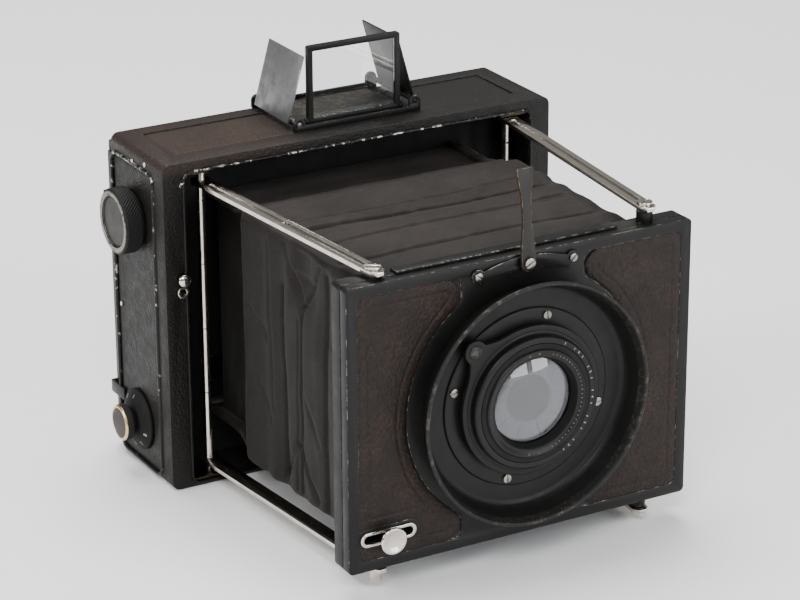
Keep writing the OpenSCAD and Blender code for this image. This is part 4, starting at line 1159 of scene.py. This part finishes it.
grid, bow_x, bow_z, bow_normal, half_width, strap_y = strap()
THREAD = enamel("linen_thread", tone=0.09, gloss=0.7)
pieces = [capped("strap_body", grid, STRAP_LEATHER)]
stitches = []
for edge_y in (strap_y - half_width + 1.6, strap_y + half_width - 1.6):
    for z_at in np.arange(bow_z[0] + 8, bow_z[-1] - 8, 3.0):
        i = int(np.argmin(np.abs(bow_z - z_at)))
        along = np.array([-bow_normal[i, 1], bow_normal[i, 0]])
        t = np.linspace(-1, 1, 7)[:, None]
        arch = 0.72 + 0.12 * (1 - t[:, 0] ** 2)
        centre = np.stack([bow_x[i] + along[0] * t[:, 0] * 1.05 + bow_normal[i, 0] * arch, np.full(7, edge_y),
                           z_at + along[1] * t[:, 0] * 1.05 + bow_normal[i, 1] * arch], axis=1)
        a = np.linspace(0, math.tau, 8, endpoint=False)
        radius = 0.2 * np.sqrt(np.maximum(1 - t[:, 0] ** 4, 0.02))
        out = np.array([bow_normal[i, 0], 0, bow_normal[i, 1]])
        ring = centre[:, None] + radius[:, None,
                                        None] * (np.cos(a)[None, :, None] * out + np.sin(a)[None, :,
                                                            None] * np.array([0, 1, 0]))
        stitches.append(capped("stitch", ring * MM, THREAD))
mount(joined("hand_strap_finished", pieces + stitches), "body", "strap_leather", "hand_strap")

# %% [markdown]
# ## Small marks of use
# The pivot rods show the joints of their sleeves as dark lines, and the pin hole near the top is a small
# flat-black cap on the rod: painted shade of the hole. The finder's tray has a pressed pattern, worn bright
# on its high points.

# %% Rod joints and finder tray
for side, body, strut_node in ((-1, "left_strut_body", "left_strut"), (1, "right_strut_body", "right_strut")):
    rod_x = side * 65.65 * MM
    rod_y = BODY_LOW[1] + 4.2 * MM
    rings = [turned("rod_joint", [[1.5, -0.17], [1.63, -0.17], [1.63, 0.17], [1.5, 0.17]],
                    (rod_x, rod_y, z * MM),
                    ENAMEL_FLAT, "+z", steps=48, edge=0.05) for z in (36, 62, 88)]
    # The pin hole is a flat-black cap, just proud of the rod: painted shade standing for the hole.
    hole = turned("rod_hole_painted_shade", [[0, 1.66], [0.42, 1.64], [0.5, 1.5]], (rod_x, rod_y, 113 * MM), ENAMEL_FLAT,
                  "-y",
                  closed=False, steps=24, edge=0.02)
    mount(joined(strut_node + "_joint_lines", rings + [hole]), body, SLOTS[strut_node])

tray_low, tray_high = low("finder_base") / MM, high("finder_base") / MM
tray_x, tray_y = np.meshgrid(np.linspace(tray_low[0] + 6, tray_high[0] - 6, 190),
                             np.linspace(tray_low[1] + 6.5, tray_high[1] - 3.5, 130), indexing="ij")
tray_z = tray_low[2] + 0.85 + 0.16 * np.abs(np.sin(tray_x * math.pi / 1.6) * np.sin(tray_y * math.pi / 1.6))
TRAY = enamel("tray_worn", wear=0.42, bare=(0.1, 0.085, 0.06), tone=0.016, gloss=0.35)
tray = surface("finder_tray", np.stack([tray_x, tray_y, tray_z], axis=2) * MM, TRAY, smooth_angle=60)
if tray.data.polygons[0].normal.z < 0:
    tray.data.flip_normals()
mount(tray, "body", SLOTS["finder_base"])

# %% Camera, light and floor
def viewing_camera():
    """A long lens, level with the finder, a little to the left of the lens axis."""
    azimuth, elevation, roll = [math.radians(a) for a in (-29.41, 21.6, 0.33)]
    back = Vector((math.sin(azimuth) * math.cos(elevation), -math.cos(azimuth) * math.cos(elevation),
                   math.sin(elevation)))
    right = Vector((math.cos(azimuth), math.sin(azimuth), 0))
    up = back.cross(right)
    turned_right = right * math.cos(roll) - up * math.sin(roll)
    turned_up = right * math.sin(roll) + up * math.cos(roll)
    target = Vector((0.00264, -0.03579, 0.06898))
    data = bpy.data.cameras.new("camera")
    data.lens, data.sensor_width = 138.3, 36.0
    data.clip_start, data.clip_end = 0.05, 50
    camera = bpy.data.objects.new("camera", data)
    bpy.context.scene.collection.objects.link(camera)
    rotation = Matrix((turned_right, turned_up, back)).transposed().to_4x4()
    camera.matrix_world = Matrix.Translation(target + back * 1.1592) @ rotation
    bpy.context.scene.camera = camera
    return camera


def area_light(name, place, target, size, power, colour=(1, 1, 1), shape="RECTANGLE", height=None):
    data = bpy.data.lights.new(name, "AREA")
    data.shape, data.size, data.size_y = shape, size, height or size
    data.energy, data.color = power, colour
    lamp = bpy.data.objects.new(name, data)
    bpy.context.scene.collection.objects.link(lamp)
    direction = Vector(target) - Vector(place)
    lamp.visible_camera = False
    lamp.matrix_world = Matrix.Translation(place) @ direction.to_track_quat("-Z", "Y").to_matrix().to_4x4()
    return lamp


viewing_camera()
middle_of_camera = (0, -0.04, 0.07)
area_light("key", (-0.9, -1.3, 1.5), middle_of_camera, 0.9, 30, height=0.7)
area_light("left_fill", (-1.6, 0.2, 0.9), middle_of_camera, 0.7, 16)
area_light("overhead", (0.1, 0.5, 1.8), middle_of_camera, 1.2, 42)
for column in range(2):
    for row in range(3):
        place = Vector((0.5 + 0.46 * column, -1.75 + 0.24 * column, 0.1 + 0.46 * row))
        area_light("window_pane", place, LENS, 0.4, 3.6, (0.94, 0.97, 1.0), height=0.4)
world = bpy.data.worlds.new("studio")
bpy.context.scene.world = world
world.use_nodes = True
world.node_tree.nodes["Background"].inputs["Color"].default_value = (1, 1, 1, 1)
world.node_tree.nodes["Background"].inputs["Strength"].default_value = 0.3

floor_finish = Finish("studio_floor", Roughness=0.7)
floor_finish.set(Base_Color=floor_finish.mix(floor_finish.noise(0.5), (0.95, 0.95, 0.95), (0.98, 0.98, 0.98)))
floor_grid = np.array([[[x, y, -0.0002] for y in (-4.0, 4.0)] for x in (-4.0, 4.0)])
floor = surface("floor", floor_grid, floor_finish.material, recalc=False)
floor.data.flip_normals()
